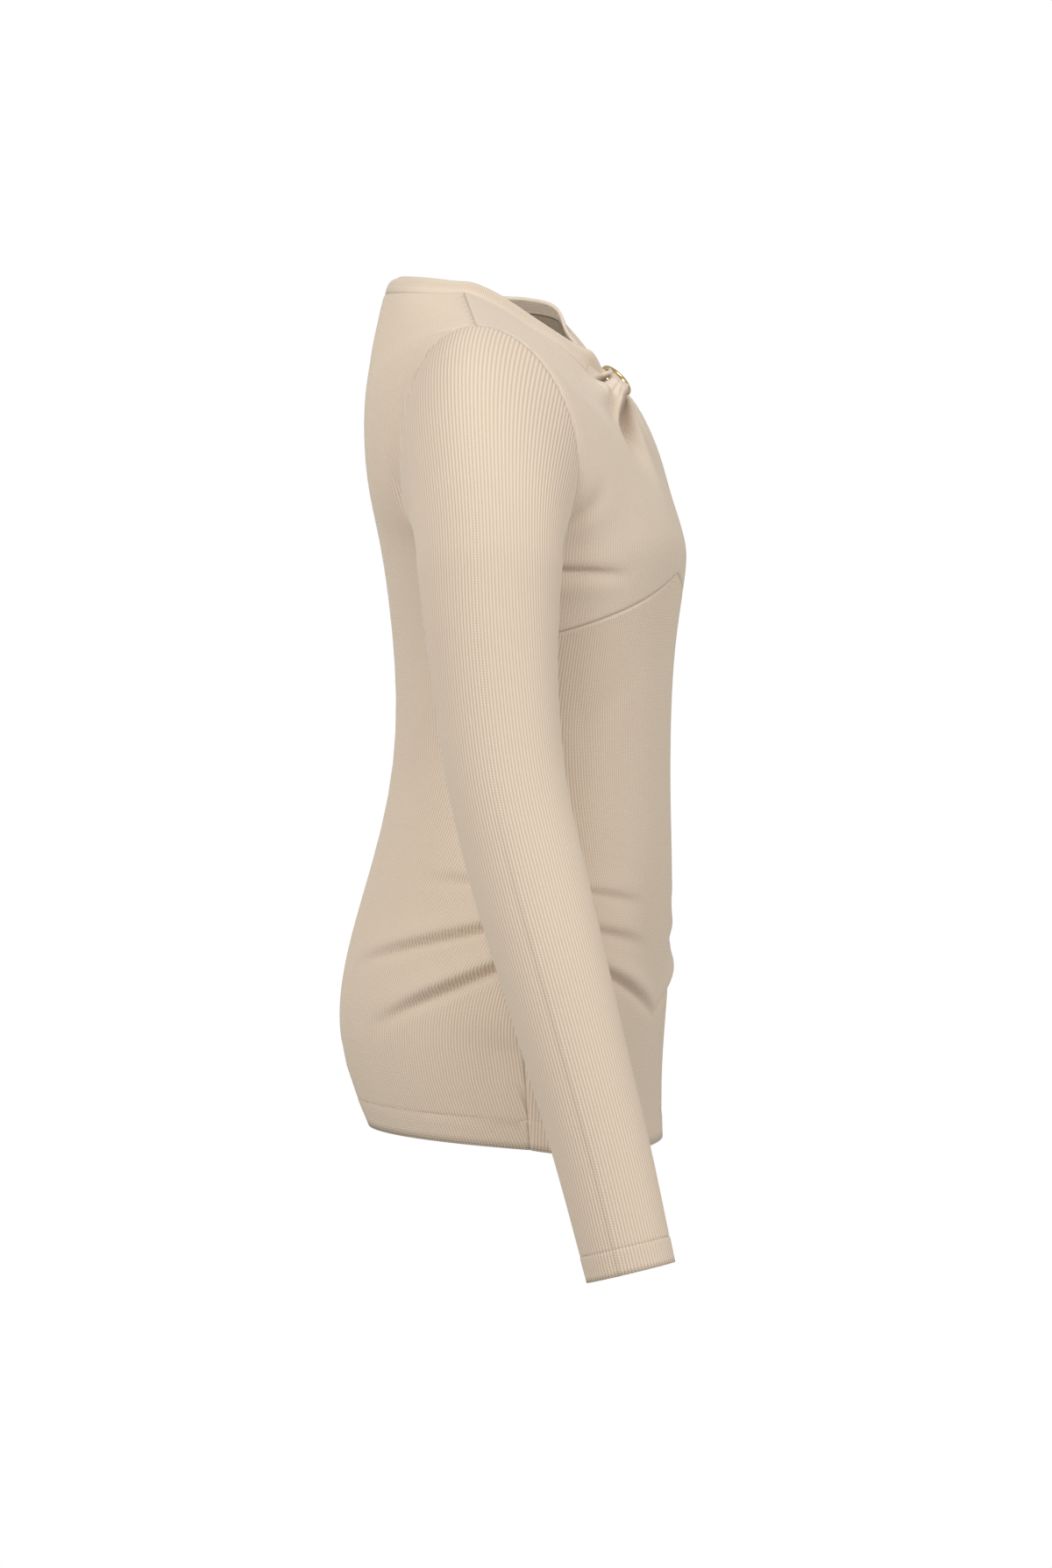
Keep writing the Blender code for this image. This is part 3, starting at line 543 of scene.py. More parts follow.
def softened_lattice(front):
    """The form on an even lattice, softened along the rows but kept at its edge."""
    across = np.linspace(0, 1, LATTICE_ACROSS)
    rows = np.linspace(0, TOP_ROW, LATTICE_ROWS)
    sharp = table_point(across[None, :], rows[:, None], front)
    reach = int(3 * SOFTENING / (rows[1] - rows[0]))
    offsets = np.arange(-reach, reach + 1)
    weights = np.exp(-((offsets * (rows[1] - rows[0]) / SOFTENING) ** 2) / 2)
    weights /= weights.sum()
    before = 2 * sharp[:1] - sharp[reach:0:-1]
    after = 2 * sharp[-1:] - sharp[-2 : -reach - 2 : -1]
    padded = np.concatenate([before, sharp, after])
    soft = sum(w * padded[i : i + len(sharp)] for i, w in enumerate(weights))
    inside = ease((1 - across) / UNSOFTENED_EDGE)[None, :, None]
    lattice = sharp + (soft - sharp) * inside
    lattice[:, 0, 0] = 0.0
    return lattice


def cubic_weights(t):
    """Weights of four neighbours for a smooth curve through the middle two."""
    return np.stack(
        [
            -0.5 * t + t**2 - 0.5 * t**3,
            1 - 2.5 * t**2 + 1.5 * t**3,
            0.5 * t + 2 * t**2 - 1.5 * t**3,
            -0.5 * t**2 + 0.5 * t**3,
        ]
    )


def form_point(across, row, front):
    """A point of the left half of the softened form."""
    across, row = np.broadcast_arrays(np.asarray(across, float), np.asarray(row, float))
    lattice = LATTICES[front]
    v = np.clip(row, 0, TOP_ROW) * (LATTICE_ROWS - 1) / TOP_ROW
    u = np.clip(across, 0, 1) * (LATTICE_ACROSS - 1)
    i = np.minimum(v.astype(int), LATTICE_ROWS - 2)
    j = np.minimum(u.astype(int), LATTICE_ACROSS - 2)
    along = cubic_weights(v - i)
    sideways = cubic_weights(u - j)
    total = 0
    for a in range(4):
        for b in range(4):
            r = np.clip(i + a - 1, 0, LATTICE_ROWS - 1)
            c = j + b - 1
            neighbour = lattice[r, np.clip(np.abs(c), 0, LATTICE_ACROSS - 1)]
            mirrored = np.where((c < 0)[..., None], (-1.0, 1.0, 1.0), 1.0)
            total = total + (along[a] * sideways[b])[..., None] * neighbour * mirrored
    return total


def form_normal(across, row, front):
    """The outward normal of the left half of the form."""
    across, row = np.broadcast_arrays(np.asarray(across, float), np.asarray(row, float))
    right = form_point(np.clip(across + NORMAL_STEP, 0, 1), row, front)
    left = form_point(np.clip(across - NORMAL_STEP, 0, 1), row, front)
    top = form_point(across, np.clip(row + NORMAL_STEP, 0, TOP_ROW), front)
    bottom = form_point(across, np.clip(row - NORMAL_STEP, 0, TOP_ROW), front)
    normal = unit(np.cross(right - left, top - bottom)) * (1 if front else -1)
    middle = across[..., None] < AT_CENTRE
    return unit(normal * np.where(middle, (0.0, 1.0, 1.0), 1.0))


def sleeve_ring(drop, turn, right):
    """A ring of the sleeve, square to the arm, and the arm's direction there."""
    column = 2 if right else 3

    def centre(at):
        return np.stack([smooth(SLEEVE, 1, at), smooth(SLEEVE, column, at), -at], -1)

    axis = unit(centre(drop + SLEEVE_STEP) - centre(drop))
    outward = np.zeros_like(axis)
    outward[..., 0] = 1.0
    outward = unit(outward - axis * np.sum(outward * axis, -1, keepdims=True))
    forward = np.cross(outward, axis)
    forward *= np.where(forward[..., 1:2] > 0, -1.0, 1.0)
    thickness = (smooth(SLEEVE, 5, drop) * np.cos(turn))[..., None]
    depth = (smooth(SLEEVE, 4, drop) * np.sin(turn))[..., None]
    return centre(drop) + outward * thickness + forward * depth, axis


def sleeve_form(turn, along, right):
    """A point of the left-hand sleeve form. along is 0 at the armhole and 1 at the cuff."""
    turn, along = np.broadcast_arrays(np.asarray(turn, float), np.asarray(along, float))
    first = SLEEVE[0][0]
    past_cap = np.clip((along - CAP_SHARE) / (1 - CAP_SHARE), 0, 1)
    arm, _ = sleeve_ring(first + (CUFF_END - first) * past_cap, turn, right)
    end, end_axis = sleeve_ring(np.full_like(along, first), turn, right)
    start = armhole(turn)
    high = (1 + np.cos(turn)) / 2
    outward = CAP_OUT_UNDERARM + CAP_OUT_MORE * high**CAP_OUT_POWER
    leave = np.stack([outward, 0 * outward, -np.sqrt(1 - outward**2)], -1)
    reach = CAP_FULLNESS * np.linalg.norm(end - start, axis=-1, keepdims=True)
    t = np.clip(along / CAP_SHARE, 0, 1)[..., None]
    cap = (
        start * (1 + 2 * t) * (1 - t) ** 2
        + leave * reach * t * (1 - t) ** 2
        + end * t**2 * (3 - 2 * t)
        + end_axis * reach * t**2 * (t - 1)
    )
    return np.where(along[..., None] < CAP_SHARE, cap, arm)


def sleeve_normal(turn, along, right):
    """The outward normal of the sleeve form."""
    after = sleeve_form(turn + SLEEVE_TURN_STEP, along, right)
    before = sleeve_form(turn - SLEEVE_TURN_STEP, along, right)
    lower = sleeve_form(turn, np.clip(along + SLEEVE_STEP, 0, 1), right)
    upper = sleeve_form(turn, np.clip(along - SLEEVE_STEP, 0, 1), right)
    return unit(np.cross(after - before, lower - upper))


def shared_normal(own, other):
    """The normal that two pieces share at a seam, or the first one's where they face apart."""
    agree = np.sum(own * other, -1, keepdims=True)
    return unit(own + other * ease((agree + SEAM_BLEND) / (1 - SEAM_BLEND)))


def seam_normal(row, front, right):
    """The normal that both pieces share where they meet at the edge of a body panel."""
    row = np.asarray(row, float)
    own = form_normal(np.ones_like(row), row, front)
    other = form_normal(np.ones_like(row), row, not front)
    turn = np.pi * (2 - np.clip(row, 1, 2)) * (1 if front else -1)
    arm = sleeve_normal(turn, np.zeros_like(row), right)
    on_armhole = ((row > ARMHOLE_ROWS[0]) & (row < ARMHOLE_ROWS[1]))[..., None]
    return np.where(on_armhole, shared_normal(own, arm), unit(own + other))


def fold_shape(at, fold):
    """One fold at points of a plane: the share of its length there, and its height."""
    start_a, start_b, end_a, end_b, height, *widths = fold
    start = np.array((start_a, start_b))
    run = np.array((end_a, end_b)) - start
    offset = at - start
    share = np.sum(offset * run, -1) / np.dot(run, run)
    along = np.clip(share, 0, 1)
    away = np.linalg.norm(offset - along[..., None] * run, axis=-1)
    width = widths[0] + (widths[-1] - widths[0]) * along
    return share, height * (1 - ease(along)) * np.exp(-((away / width) ** 2))


def fold_height(at, fold):
    """Height of one fold: half at its start, full just after, then fading."""
    share, height = fold_shape(at, fold)
    return height * ease(0.5 + share / FOLD_START)


def crease_height(at, crease):
    """Height of one sharp crease: a roll above its line and a narrow trough just below it."""
    start_girth, start_z, end_girth, end_z, roll, depth = crease
    start = np.array((start_girth, start_z))
    run = np.array((end_girth, end_z)) - start
    length = np.linalg.norm(run)
    upward = np.array((-run[1], run[0])) / length
    upward *= np.sign(upward[1])
    offset = at - start
    share = offset @ run / length**2
    above = offset @ upward
    soft = 1 + CREASE_SOFTENS * np.clip(share, 0, 1)
    kept = 1 - ease((share - CREASE_HOLD) / (1 - CREASE_HOLD))
    strength = ease(0.5 + share / FOLD_START) * kept
    rise = np.exp(-((above / ROLL_WIDTH) ** 2))
    drop = np.exp(-((above / (ROLL_EDGE * soft)) ** 2))
    trough = np.exp(-(((above + TROUGH_AWAY * soft) / (TROUGH_WIDTH * soft)) ** 2))
    return strength * (roll * np.where(above > 0, rise, drop) - depth * trough)


def gather_height(table, at):
    """Sum of a table's rolls and pleats at points of the ring's plane."""
    return sum(fold_shape(at, fold)[1] for fold in table)


def gathered(points):
    """Raises the rolls and pleats of the cloth that holds the ring."""
    at = from_ring(points)
    height = gather_height(GATHERS + DEEP_PLEATS, at[..., :2])
    near = np.exp(-((at[..., 2] / GATHER_DEPTH) ** 4))
    return points + (height * near)[..., None] * ring_frame()[2]


def painted_pleat_shade(points):
    """Painted shade: how much darker the cloth is painted at points beside the ring, in its deep
    pleats.
    """
    return gather_height(PAINTED_PLEAT_SHADE, from_ring(points)[..., :2])


def relief(points, across, front, side):
    """How far the folds raise one half of the form."""
    total = np.zeros(points.shape[:-1])
    girth = across * QUARTER_GIRTH if front else (2 - across) * QUARTER_GIRTH
    laid_flat = np.stack([np.broadcast_to(girth, total.shape), points[..., 2]], -1)
    seen_ahead = points[..., [0, 2]]
    for fold in BODY_FOLDS:
        total += fold_height(laid_flat, fold)
    for crease in CREASES:
        total += crease_height(laid_flat, crease)
    for fold in RING_FOLDS if front else ():
        total += fold_height(seen_ahead, fold)
    if side > 0:
        lift = fold_height(seen_ahead, LEFT_LIFT)
        total += lift if front else lift * ease((across - LIFT_REACH) / (1 - LIFT_REACH))
    return total


def seated(points):
    """Brings the cloth near the ring to a seat just below it."""
    at = from_ring(points)
    away = np.linalg.norm(at[..., :2], axis=-1)
    seat = -(RING_WIRE + TAB_CLEAR + TAB_WALL + SEAT_GAP)
    share = np.exp(-((away / SEAT_REACH) ** SEAT_SHARPNESS))
    return points + ((seat - at[..., 2]) * share)[..., None] * ring_frame()[2]


def bust_seam_z(across):
    """Height of the seam under the bust, pointed at the centre and lowest at the side seam."""
    across = np.asarray(across, float)
    curved = np.sin(np.pi / 2 * across)
    return BUST_SEAM_TOP_Z - BUST_SEAM_DROP * (curved + (across - curved) * BUST_SEAM_POINTED)


def bust_seam_row(across):
    """The row on which the bust seam lies."""
    return row_at(bust_seam_z(across))


def ring_frame():
    """Directions of the ring: across, up the slope of the chest, and out from the chest."""
    slope = np.radians(RING_SLOPE)
    turn = np.radians(RING_TURN)
    up_slope = np.array([0.0, np.sin(slope), np.cos(slope)])
    straight_out = np.cross((1.0, 0.0, 0.0), up_slope)
    across = np.array([np.cos(turn), 0.0, 0.0]) + straight_out * np.sin(turn)
    return across, up_slope, np.cross(across, up_slope)


def from_ring(points):
    """Points in the ring's own directions, from its centre: across, up the slope and out."""
    return (points - np.array(RING_CENTRE)) @ np.stack(ring_frame(), 1)


LATTICES = {True: softened_lattice(True), False: softened_lattice(False)}


def half_panel(across, row, front, side):
    """Points and normals of one half of a body panel. side is 1 on the left, -1 on the right."""
    base = form_point(across, row, front)
    normals = form_normal(across, row, front)
    seam = seam_normal(row[:, -1], front, side < 0)[:, None]
    near_edge = ease((across - 1 + EDGE_SHARE) / EDGE_SHARE)[..., None]
    normals = unit(normals + (seam - normals) * near_edge)
    points = base + normals * relief(base, across, front, side)[..., None]
    mirror = np.array([side, 1.0, 1.0])
    points = points * mirror
    if front:
        points = gathered(seated(points))
    return points, normals * mirror


def cut_columns(run, samples):
    """Columns a quarter of a rib apart, cut off at the edge of each row."""
    length = run[:, -1]
    last = np.ceil(length / RIB_STEP - CUT_SLACK).astype(int)
    numbers = np.arange(last.max() + 1)
    places = numbers * RIB_STEP
    beyond = numbers[None, :] >= last[:, None]
    across = np.stack([np.interp(places, row_run, samples) for row_run in run])
    across = np.where(beyond, samples[-1], across)
    return across, np.where(beyond, length[:, None], places[None, :]), last


def runs_along(points):
    """Distance run along each row of a grid of points."""
    steps = np.linalg.norm(np.diff(points, axis=1), axis=-1)
    return np.concatenate([np.zeros((len(points), 1)), np.cumsum(steps, axis=1)], axis=1)


def runs_up(points):
    """Distance run up each column of a grid of points."""
    return runs_along(points.swapaxes(0, 1)).T


def panel_half(row_of, shares, front, side):
    """One ribbed half of a panel, as a table of its named grids. row_of gives the row at a share
    across and a share up."""
    samples = np.linspace(0, 1, ROW_SAMPLES)
    base = form_point(samples, row_of(samples, shares[:, None]), front)
    across, run, last = cut_columns(runs_along(base), samples)
    rows = row_of(across, shares[:, None])
    points, normals = half_panel(across, rows, front, side)
    return {
        "points": points,
        "normals": normals,
        "run": run,
        "up": runs_up(points),
        "edge": run[:, -1:] - run,
        "edge_row": rows[:, -1:],
        "last": last,
    }


def whole_panel(row_of, shares, front):
    """A whole panel from its two halves, which meet on the centre line."""
    right, left = (panel_half(row_of, shares, front, side) for side in (-1, 1))
    whole = {}
    for key in ("points", "normals", "run", "up", "edge"):
        whole[key] = np.concatenate([right[key][:, ::-1], left[key][:, 1:]], axis=1)
    middle = right["run"].shape[1] - 1
    whole["run"][:, :middle] *= -1
    whole["low"] = middle - right["last"]
    whole["high"] = middle + left["last"]
    whole["middle"] = middle
    whole["edge_row"] = right["edge_row"]
    return whole


def one_half(row_of, shares, front, side):
    """A panel of one half alone, whose first column is an edge."""
    half = panel_half(row_of, shares, front, side)
    half["low"] = np.zeros(len(half["run"]), int)
    half["high"] = half["last"]
    half["middle"] = 0
    half["centre"] = half["run"]
    return half


def dip(distance, depth, reach):
    """A soft groove at distance 0."""
    return depth * np.exp(-((distance / reach) ** 2))


def edge_shade(row):
    """How dark the seam at a panel's edge looks: the side, the armhole and the shoulder."""
    return np.where(row <= 1, SIDE_SHADE, np.where(row < 2, ARMHOLE_SHADE, SHOULDER_SHADE))


def finish_panel(panel, hem, top_seam):
    """Sinks the seams and the hem stitches, and gives the ribs their strength and the wall."""
    up = panel["up"]
    top = up[-1:] - up
    top_sink, top_shade = top_seam
    sink = dip(panel["edge"], SEAM_SINK, SEAM_SINK_REACH) + dip(top, top_sink, SEAM_SINK_REACH)
    shade = dip(panel["edge"], edge_shade(panel["edge_row"]), SEAM_SHADE_REACH)
    shade = np.maximum(shade, dip(top, top_shade, SEAM_SHADE_REACH))
    ribs = ease(panel["edge"] / RIB_FADE) * ease(top / RIB_FADE)
    wall = np.full(up.shape, WALL)
    if hem:
        sink += dip(up - hem, HEM_SINK, HEM_SINK_REACH) - HEM_PROUD * (up < hem)
        shade = np.maximum(shade, dip(up - hem, HEM_SHADE, SEAM_SHADE_REACH))
        wall += TURN_EXTRA * (up < hem)
    else:
        sink += dip(up, SEAM_SINK, SEAM_SINK_REACH)
        shade = np.maximum(shade, dip(up, BUST_SHADE, SEAM_SHADE_REACH))
        ribs *= ease(up / RIB_FADE)
    if "centre" in panel:
        away = np.linalg.norm(panel["points"] - np.array(RING_CENTRE), axis=-1)
        ribs *= UPPER_RIBS * (1 - (1 - RING_RIBS) * np.exp(-((away / RING_RIBS_REACH) ** 2)))
        ribs *= ease(panel["centre"] / RIB_FADE)
        # Painted shade in the deep pleats beside the ring, kept with the seams' own darkness
        shade = np.maximum(shade, painted_pleat_shade(panel["points"]))
    panel["inner"] = panel["points"] - panel["normals"] * (wall + RIB_HEIGHT / 2)[..., None]
    panel["points"] = panel["points"] - panel["normals"] * (sink + RIB_HEIGHT / 2)[..., None]
    panel["ribs"] = ribs
    panel["shade"] = shade
    return panel


def open_quads(index, flip):
    """Faces between the rows of a table of vertex numbers, with cut-off corners as triangles."""
    a, b = index[:-1, :-1].ravel(), index[:-1, 1:].ravel()
    c, d = index[1:, 1:].ravel(), index[1:, :-1].ravel()
    whole = (a != b) & (c != d)
    low = (a != b) & (c == d)
    high = (a == b) & (c != d)
    faces = np.stack([a, b, c, d], 1)[whole].tolist()
    faces += np.stack([a, b, c], 1)[low].tolist()
    faces += np.stack([a, c, d], 1)[high].tolist()
    return [face[::-1] for face in faces] if flip else faces


def end_rim(outer, inner, picks, kept):
    """Faces that join one end row of the outer wall to the inner wall."""
    faces = []
    for first, second in zip(picks[:-1], picks[1:]):
        a, b = kept[first], kept[second]
        if a == b:
            continue
        faces.append([outer[k] for k in range(b, a - 1, -1)] + [inner[a], inner[b]])
    return faces


def wall_faces(panel, closed):
    """Faces of a closed wall of cloth: the ribbed outside, the plain inside and the rims."""
    rows, columns = panel["run"].shape
    low, high = panel["low"][:, None], panel["high"][:, None]
    kept = np.clip(np.arange(columns)[None, :], low, high)
    merged = np.where(kept == high, low, kept) if closed else kept
    outer = np.arange(rows)[:, None] * columns + merged
    offset = rows * columns
    first = panel["middle"] % RIB_PARTS
    picks = np.unique(np.concatenate([[0], np.arange(first, columns, RIB_PARTS), [columns - 1]]))
    faces = open_quads(outer, False) + open_quads(outer[:, picks] + offset, True)
    for row, reverse in ((0, False), (rows - 1, True)):
        rim = end_rim(outer[row], outer[row] + offset, picks, kept[row])
        faces += [face[::-1] for face in rim] if reverse else rim
    if not closed:
        for i in range(rows - 1):
            a, b = outer[i, 0], outer[i + 1, 0]
            faces.append([a, b, b + offset, a + offset])
            a, b = outer[i, -1], outer[i + 1, -1]
            faces.append([b, a, a + offset, b + offset])
    return faces


def cloth_mesh(name, panel, closed):
    """A wall of cloth from its grids, with the values that its ribs and its material read."""
    faces = wall_faces(panel, closed)
    points = np.concatenate([panel["points"].reshape(-1, 3), panel["inner"].reshape(-1, 3)])
    outward = np.tile(panel["normals"].reshape(-1, 3), (2, 1))
    used = np.unique(np.concatenate([np.array(face) for face in faces]))
    new_number = np.zeros(len(points), int)
    new_number[used] = np.arange(len(used))
    sample = faces[len(faces) // 4]
    a, b, c = points[sample[:3]]
    flip = np.dot(np.cross(b - a, c - a), outward[sample[0]]) < 0
    faces = [new_number[face[::-1] if flip else face].tolist() for face in faces]
    mesh = bpy.data.meshes.new(name)
    mesh.from_pydata(points[used].tolist(), [], faces)
    mesh.shade_smooth()
    run, up, shade = (np.tile(panel[key].ravel(), 2)[used] for key in ("run", "up", "shade"))
    ribs = np.concatenate([panel["ribs"].ravel(), np.zeros(panel["ribs"].size)])
    store(mesh, "rib_run", "FLOAT", run)
    store(mesh, "rib_strength", "FLOAT", ribs[used])
    store(mesh, "seam_and_painted_shade", "FLOAT", shade)
    store(mesh, "outward", "FLOAT_VECTOR", outward[used])
    corner = np.empty(len(mesh.loops), int)
    mesh.loops.foreach_get("vertex_index", corner)
    places = np.stack([run[corner], up[corner]], 1)
    mesh.uv_layers.new(name="cloth").data.foreach_set("uv", places.ravel())
    return place(name, mesh)


def store(mesh, name, kind, values):
    """Keeps one value for each point of a mesh."""
    field = "vector" if kind == "FLOAT_VECTOR" else "value"
    mesh.attributes.new(name, kind, "POINT").data.foreach_set(field, np.ravel(values))


def place(name, data):
    """Puts a mesh, lamp or camera into the scene as an object at the origin."""
    item = bpy.data.objects.new(name, data)
    bpy.context.scene.collection.objects.link(item)
    return item


def new_tree(name, inputs):
    """A geometry node tree with named inputs, given as (name, kind of socket)."""
    tree = bpy.data.node_groups.new(name, "GeometryNodeTree")
    tree.interface.new_socket("Geometry", in_out="INPUT", socket_type="NodeSocketGeometry")
    for label, kind in inputs:
        tree.interface.new_socket(label, in_out="INPUT", socket_type=kind)
    tree.interface.new_socket("Geometry", in_out="OUTPUT", socket_type="NodeSocketGeometry")
    return tree, tree.nodes.new("NodeGroupInput"), tree.nodes.new("NodeGroupOutput")


def fill(tree, node, values):
    """Gives inputs of a node a value or another node's output. An input is named, or counted as
    n0, n1 and so on."""
    for key, value in values.items():
        counted = key[0] == "n" and key[1:].isdigit()
        socket = node.inputs[int(key[1:]) if counted else key]
        if isinstance(value, bpy.types.NodeSocket):
            tree.links.new(value, socket)
        else:
            socket.default_value = value


def add_node(tree, kind, settings=None, **values):
    """Adds a node with its settings and inputs."""
    made = tree.nodes.new(kind)
    for key, value in (settings or {}).items():
        setattr(made, key, value)
    fill(tree, made, values)
    return made


def math(tree, operation, first, second=0.0, third=0.0):
    """The output of one sum on up to three numbers."""
    settings = {"operation": operation}
    return add_node(tree, "ShaderNodeMath", settings, n0=first, n1=second, n2=third).outputs[0]


def rib_tree():
    """Raises the ribs of a knit along its outward direction."""
    sizes = [("Rib pitch", "NodeSocketFloat"), ("Rib height", "NodeSocketFloat")]
    tree, given, result = new_tree("raise_ribs", sizes + [("Cloth", "NodeSocketMaterial")])
    named = {}
    for name, kind in (("rib_run", "FLOAT"), ("rib_strength", "FLOAT"), ("outward", "FLOAT_VECTOR")):
        found = add_node(tree, "GeometryNodeInputNamedAttribute", {"data_type": kind}, Name=name)
        named[name] = found.outputs["Attribute"]
    turns = math(tree, "DIVIDE", named["rib_run"], given.outputs["Rib pitch"])
    wave = math(tree, "COSINE", math(tree, "MULTIPLY", turns, np.pi))
    strength = math(tree, "MULTIPLY", named["rib_strength"], given.outputs["Rib height"])
    height = math(tree, "MULTIPLY", math(tree, "ABSOLUTE", wave), strength)
    scaled = {"operation": "SCALE"}
    offset = add_node(tree, "ShaderNodeVectorMath", scaled, n0=named["outward"], Scale=height)
    cloth = given.outputs["Geometry"]
    raised = add_node(tree, "GeometryNodeSetPosition", Geometry=cloth, Offset=offset.outputs[0])
    end_tree(tree, raised.outputs[0], given.outputs["Cloth"], result)
    return tree


def end_tree(tree, geometry, material, result):
    """Makes what a tree has laid real and gives it its material."""
    real = add_node(tree, "GeometryNodeRealizeInstances", n0=geometry)
    covered = add_node(tree, "GeometryNodeSetMaterial", n0=real.outputs[0], Material=material)
    tree.links.new(covered.outputs[0], result.inputs[0])


def stitch_tree():
    """Lays small stitches along a path."""
    sizes = [(label, "NodeSocketFloat") for label in ("Spacing", "Length", "Thickness")]
    tree, given, result = new_tree("lay_stitches", sizes + [("Thread", "NodeSocketMaterial")])
    spacing, length, thickness = (given.outputs[label] for label, _ in sizes)
    curve = add_node(tree, "GeometryNodeMeshToCurve", n0=given.outputs["Geometry"]).outputs[0]
    even = add_node(
        tree, "GeometryNodeResampleCurve", {"mode": "LENGTH"}, Curve=curve, Length=spacing
    )
    bead = add_node(
        tree, "GeometryNodeMeshUVSphere", Segments=STITCH_SIDES, Rings=STITCH_RINGS, Radius=0.5
    )
    soft = add_node(tree, "GeometryNodeSetShadeSmooth", n0=bead.outputs[0])
    tangent = add_node(tree, "GeometryNodeInputTangent").outputs[0]
    turned = add_node(tree, "FunctionNodeAlignRotationToVector", {"axis": "X"}, Vector=tangent)
    scale = add_node(tree, "ShaderNodeCombineXYZ", X=length, Y=thickness, Z=thickness)
    laid = add_node(
        tree,
        "GeometryNodeInstanceOnPoints",
        Points=even.outputs[0],
        Instance=soft.outputs[0],
        Rotation=turned.outputs[0],
        Scale=scale.outputs[0],
    )
    end_tree(tree, laid.outputs[0], given.outputs["Thread"], result)
    return tree


def apply_tree(item, tree, values):
    """Runs a node tree on an object and keeps the plain mesh that it makes."""
    modifier = item.modifiers.new(tree.name, "NODES")
    modifier.node_group = tree
    for socket in tree.interface.items_tree:
        if socket.in_out == "INPUT" and socket.name in values:
            modifier[socket.identifier] = values[socket.name]
    graph = bpy.context.evaluated_depsgraph_get()
    mesh = bpy.data.meshes.new_from_object(item.evaluated_get(graph))
    item.modifiers.remove(modifier)
    item.data = mesh
    mesh.name = item.name
    return item


def knitted(name, panel, knit, pitch=RIB_PITCH, height=RIB_HEIGHT, closed=False):
    """A piece of knitted cloth from its grids, with its ribs raised."""
    item = cloth_mesh(name, panel, closed)
    item.data.materials.append(knit)
    apply_tree(item, RIB_TREE, {"Rib pitch": pitch, "Rib height": height, "Cloth": knit})
    for value in ("rib_run", "outward"):
        kept = item.data.attributes.get(value)
        if kept:
            item.data.attributes.remove(kept)
    return item


def stitched(name, path, thread):
    """A row of stitches along a path of points."""
    mesh = bpy.data.meshes.new(name)
    mesh.from_pydata(path.tolist(), [(i, i + 1) for i in range(len(path) - 1)], [])
    values = {
        "Spacing": STITCH_SPACING,
        "Length": STITCH_LENGTH,
        "Thickness": STITCH_THICKNESS,
        "Thread": thread,
    }
    return apply_tree(place(name, mesh), STITCH_TREE, values)


def spread(*stretches):
    """Rows from stretches given as (start, end, step), joined end to end."""
    rows = [stretches[0][0]]
    for start, end, step in stretches:
        count = max(1, int(round(abs(end - start) / step)))
        rows += list(np.linspace(start, end, count + 1)[1:])
    return np.array(rows)


def lower_heights(top, fold_step, plain_step):
    """Heights of the rows from the hem up to a height, closer together at the hip folds."""
    stitches = HEM_Z + HEM_TURN
    return spread(
        (HEM_Z, stitches - FINE_AT_STITCHES, HEM_STEP),
        (stitches - FINE_AT_STITCHES, stitches + FINE_AT_STITCHES, FINE_STEP),
        (stitches + FINE_AT_STITCHES, FOLDS_LOW, plain_step),
        (FOLDS_LOW, FOLDS_HIGH, fold_step),
        (FOLDS_HIGH, top - FINE_AT_SEAM, plain_step),
        (top - FINE_AT_SEAM, top, FINE_STEP),
    )


def make_back(knit):
    """The back, from the hem to the neck. It has no seam level with the underarm, so the fine
    rows that would lie below one are left out."""
    heights = lower_heights(UNDERARM_Z - FINE_AT_SEAM, BACK_FOLD_STEP, BACK_PLAIN_STEP)
    fine_rows = round(FINE_AT_SEAM / FINE_STEP)
    shares = np.concatenate([row_at(heights[:-fine_rows]), spread(*BACK_YOKE_ROWS)])
    panel = whole_panel(lambda across, row: row + 0 * across, shares, False)
    return knitted("back_knit", finish_panel(panel, HEM_TURN, BAND_SEAM), knit)


def make_front_lower(knit):
    """The lower front, from the hem to the seam under the bust."""
    heights = lower_heights(bust_seam_z(1.0), FRONT_FOLD_STEP, FRONT_PLAIN_STEP)
    shares = (heights - HEM_Z) / (bust_seam_z(1.0) - HEM_Z)
    panel = whole_panel(lambda across, share: share * bust_seam_row(across), shares, True)
    return knitted("front_lower_knit", finish_panel(panel, HEM_TURN, BUST_SEAM), knit)


def make_front_upper(name, side, knit):
    """A draped upper front, from the seam under the bust to the neck band."""

    def row_of(across, share):
        first = bust_seam_row(across)
        return first + share * (BAND_SEAM_ROW - first)

    panel = one_half(row_of, spread(*UPPER_ROWS), True, side)
    return knitted(name, finish_panel(panel, 0.0, BAND_SEAM), knit)


def sleeve_columns(along, right):
    """Where the ribs of a sleeve run: its turns, runs and last columns. The cut is at turn pi."""
    turns = np.linspace(0, np.pi, ROW_SAMPLES)
    below_cap = np.maximum(along, CAP_SHARE)
    rings = sleeve_form(turns[None, :], below_cap[:, None], right)
    return cut_columns(runs_along(rings), turns)


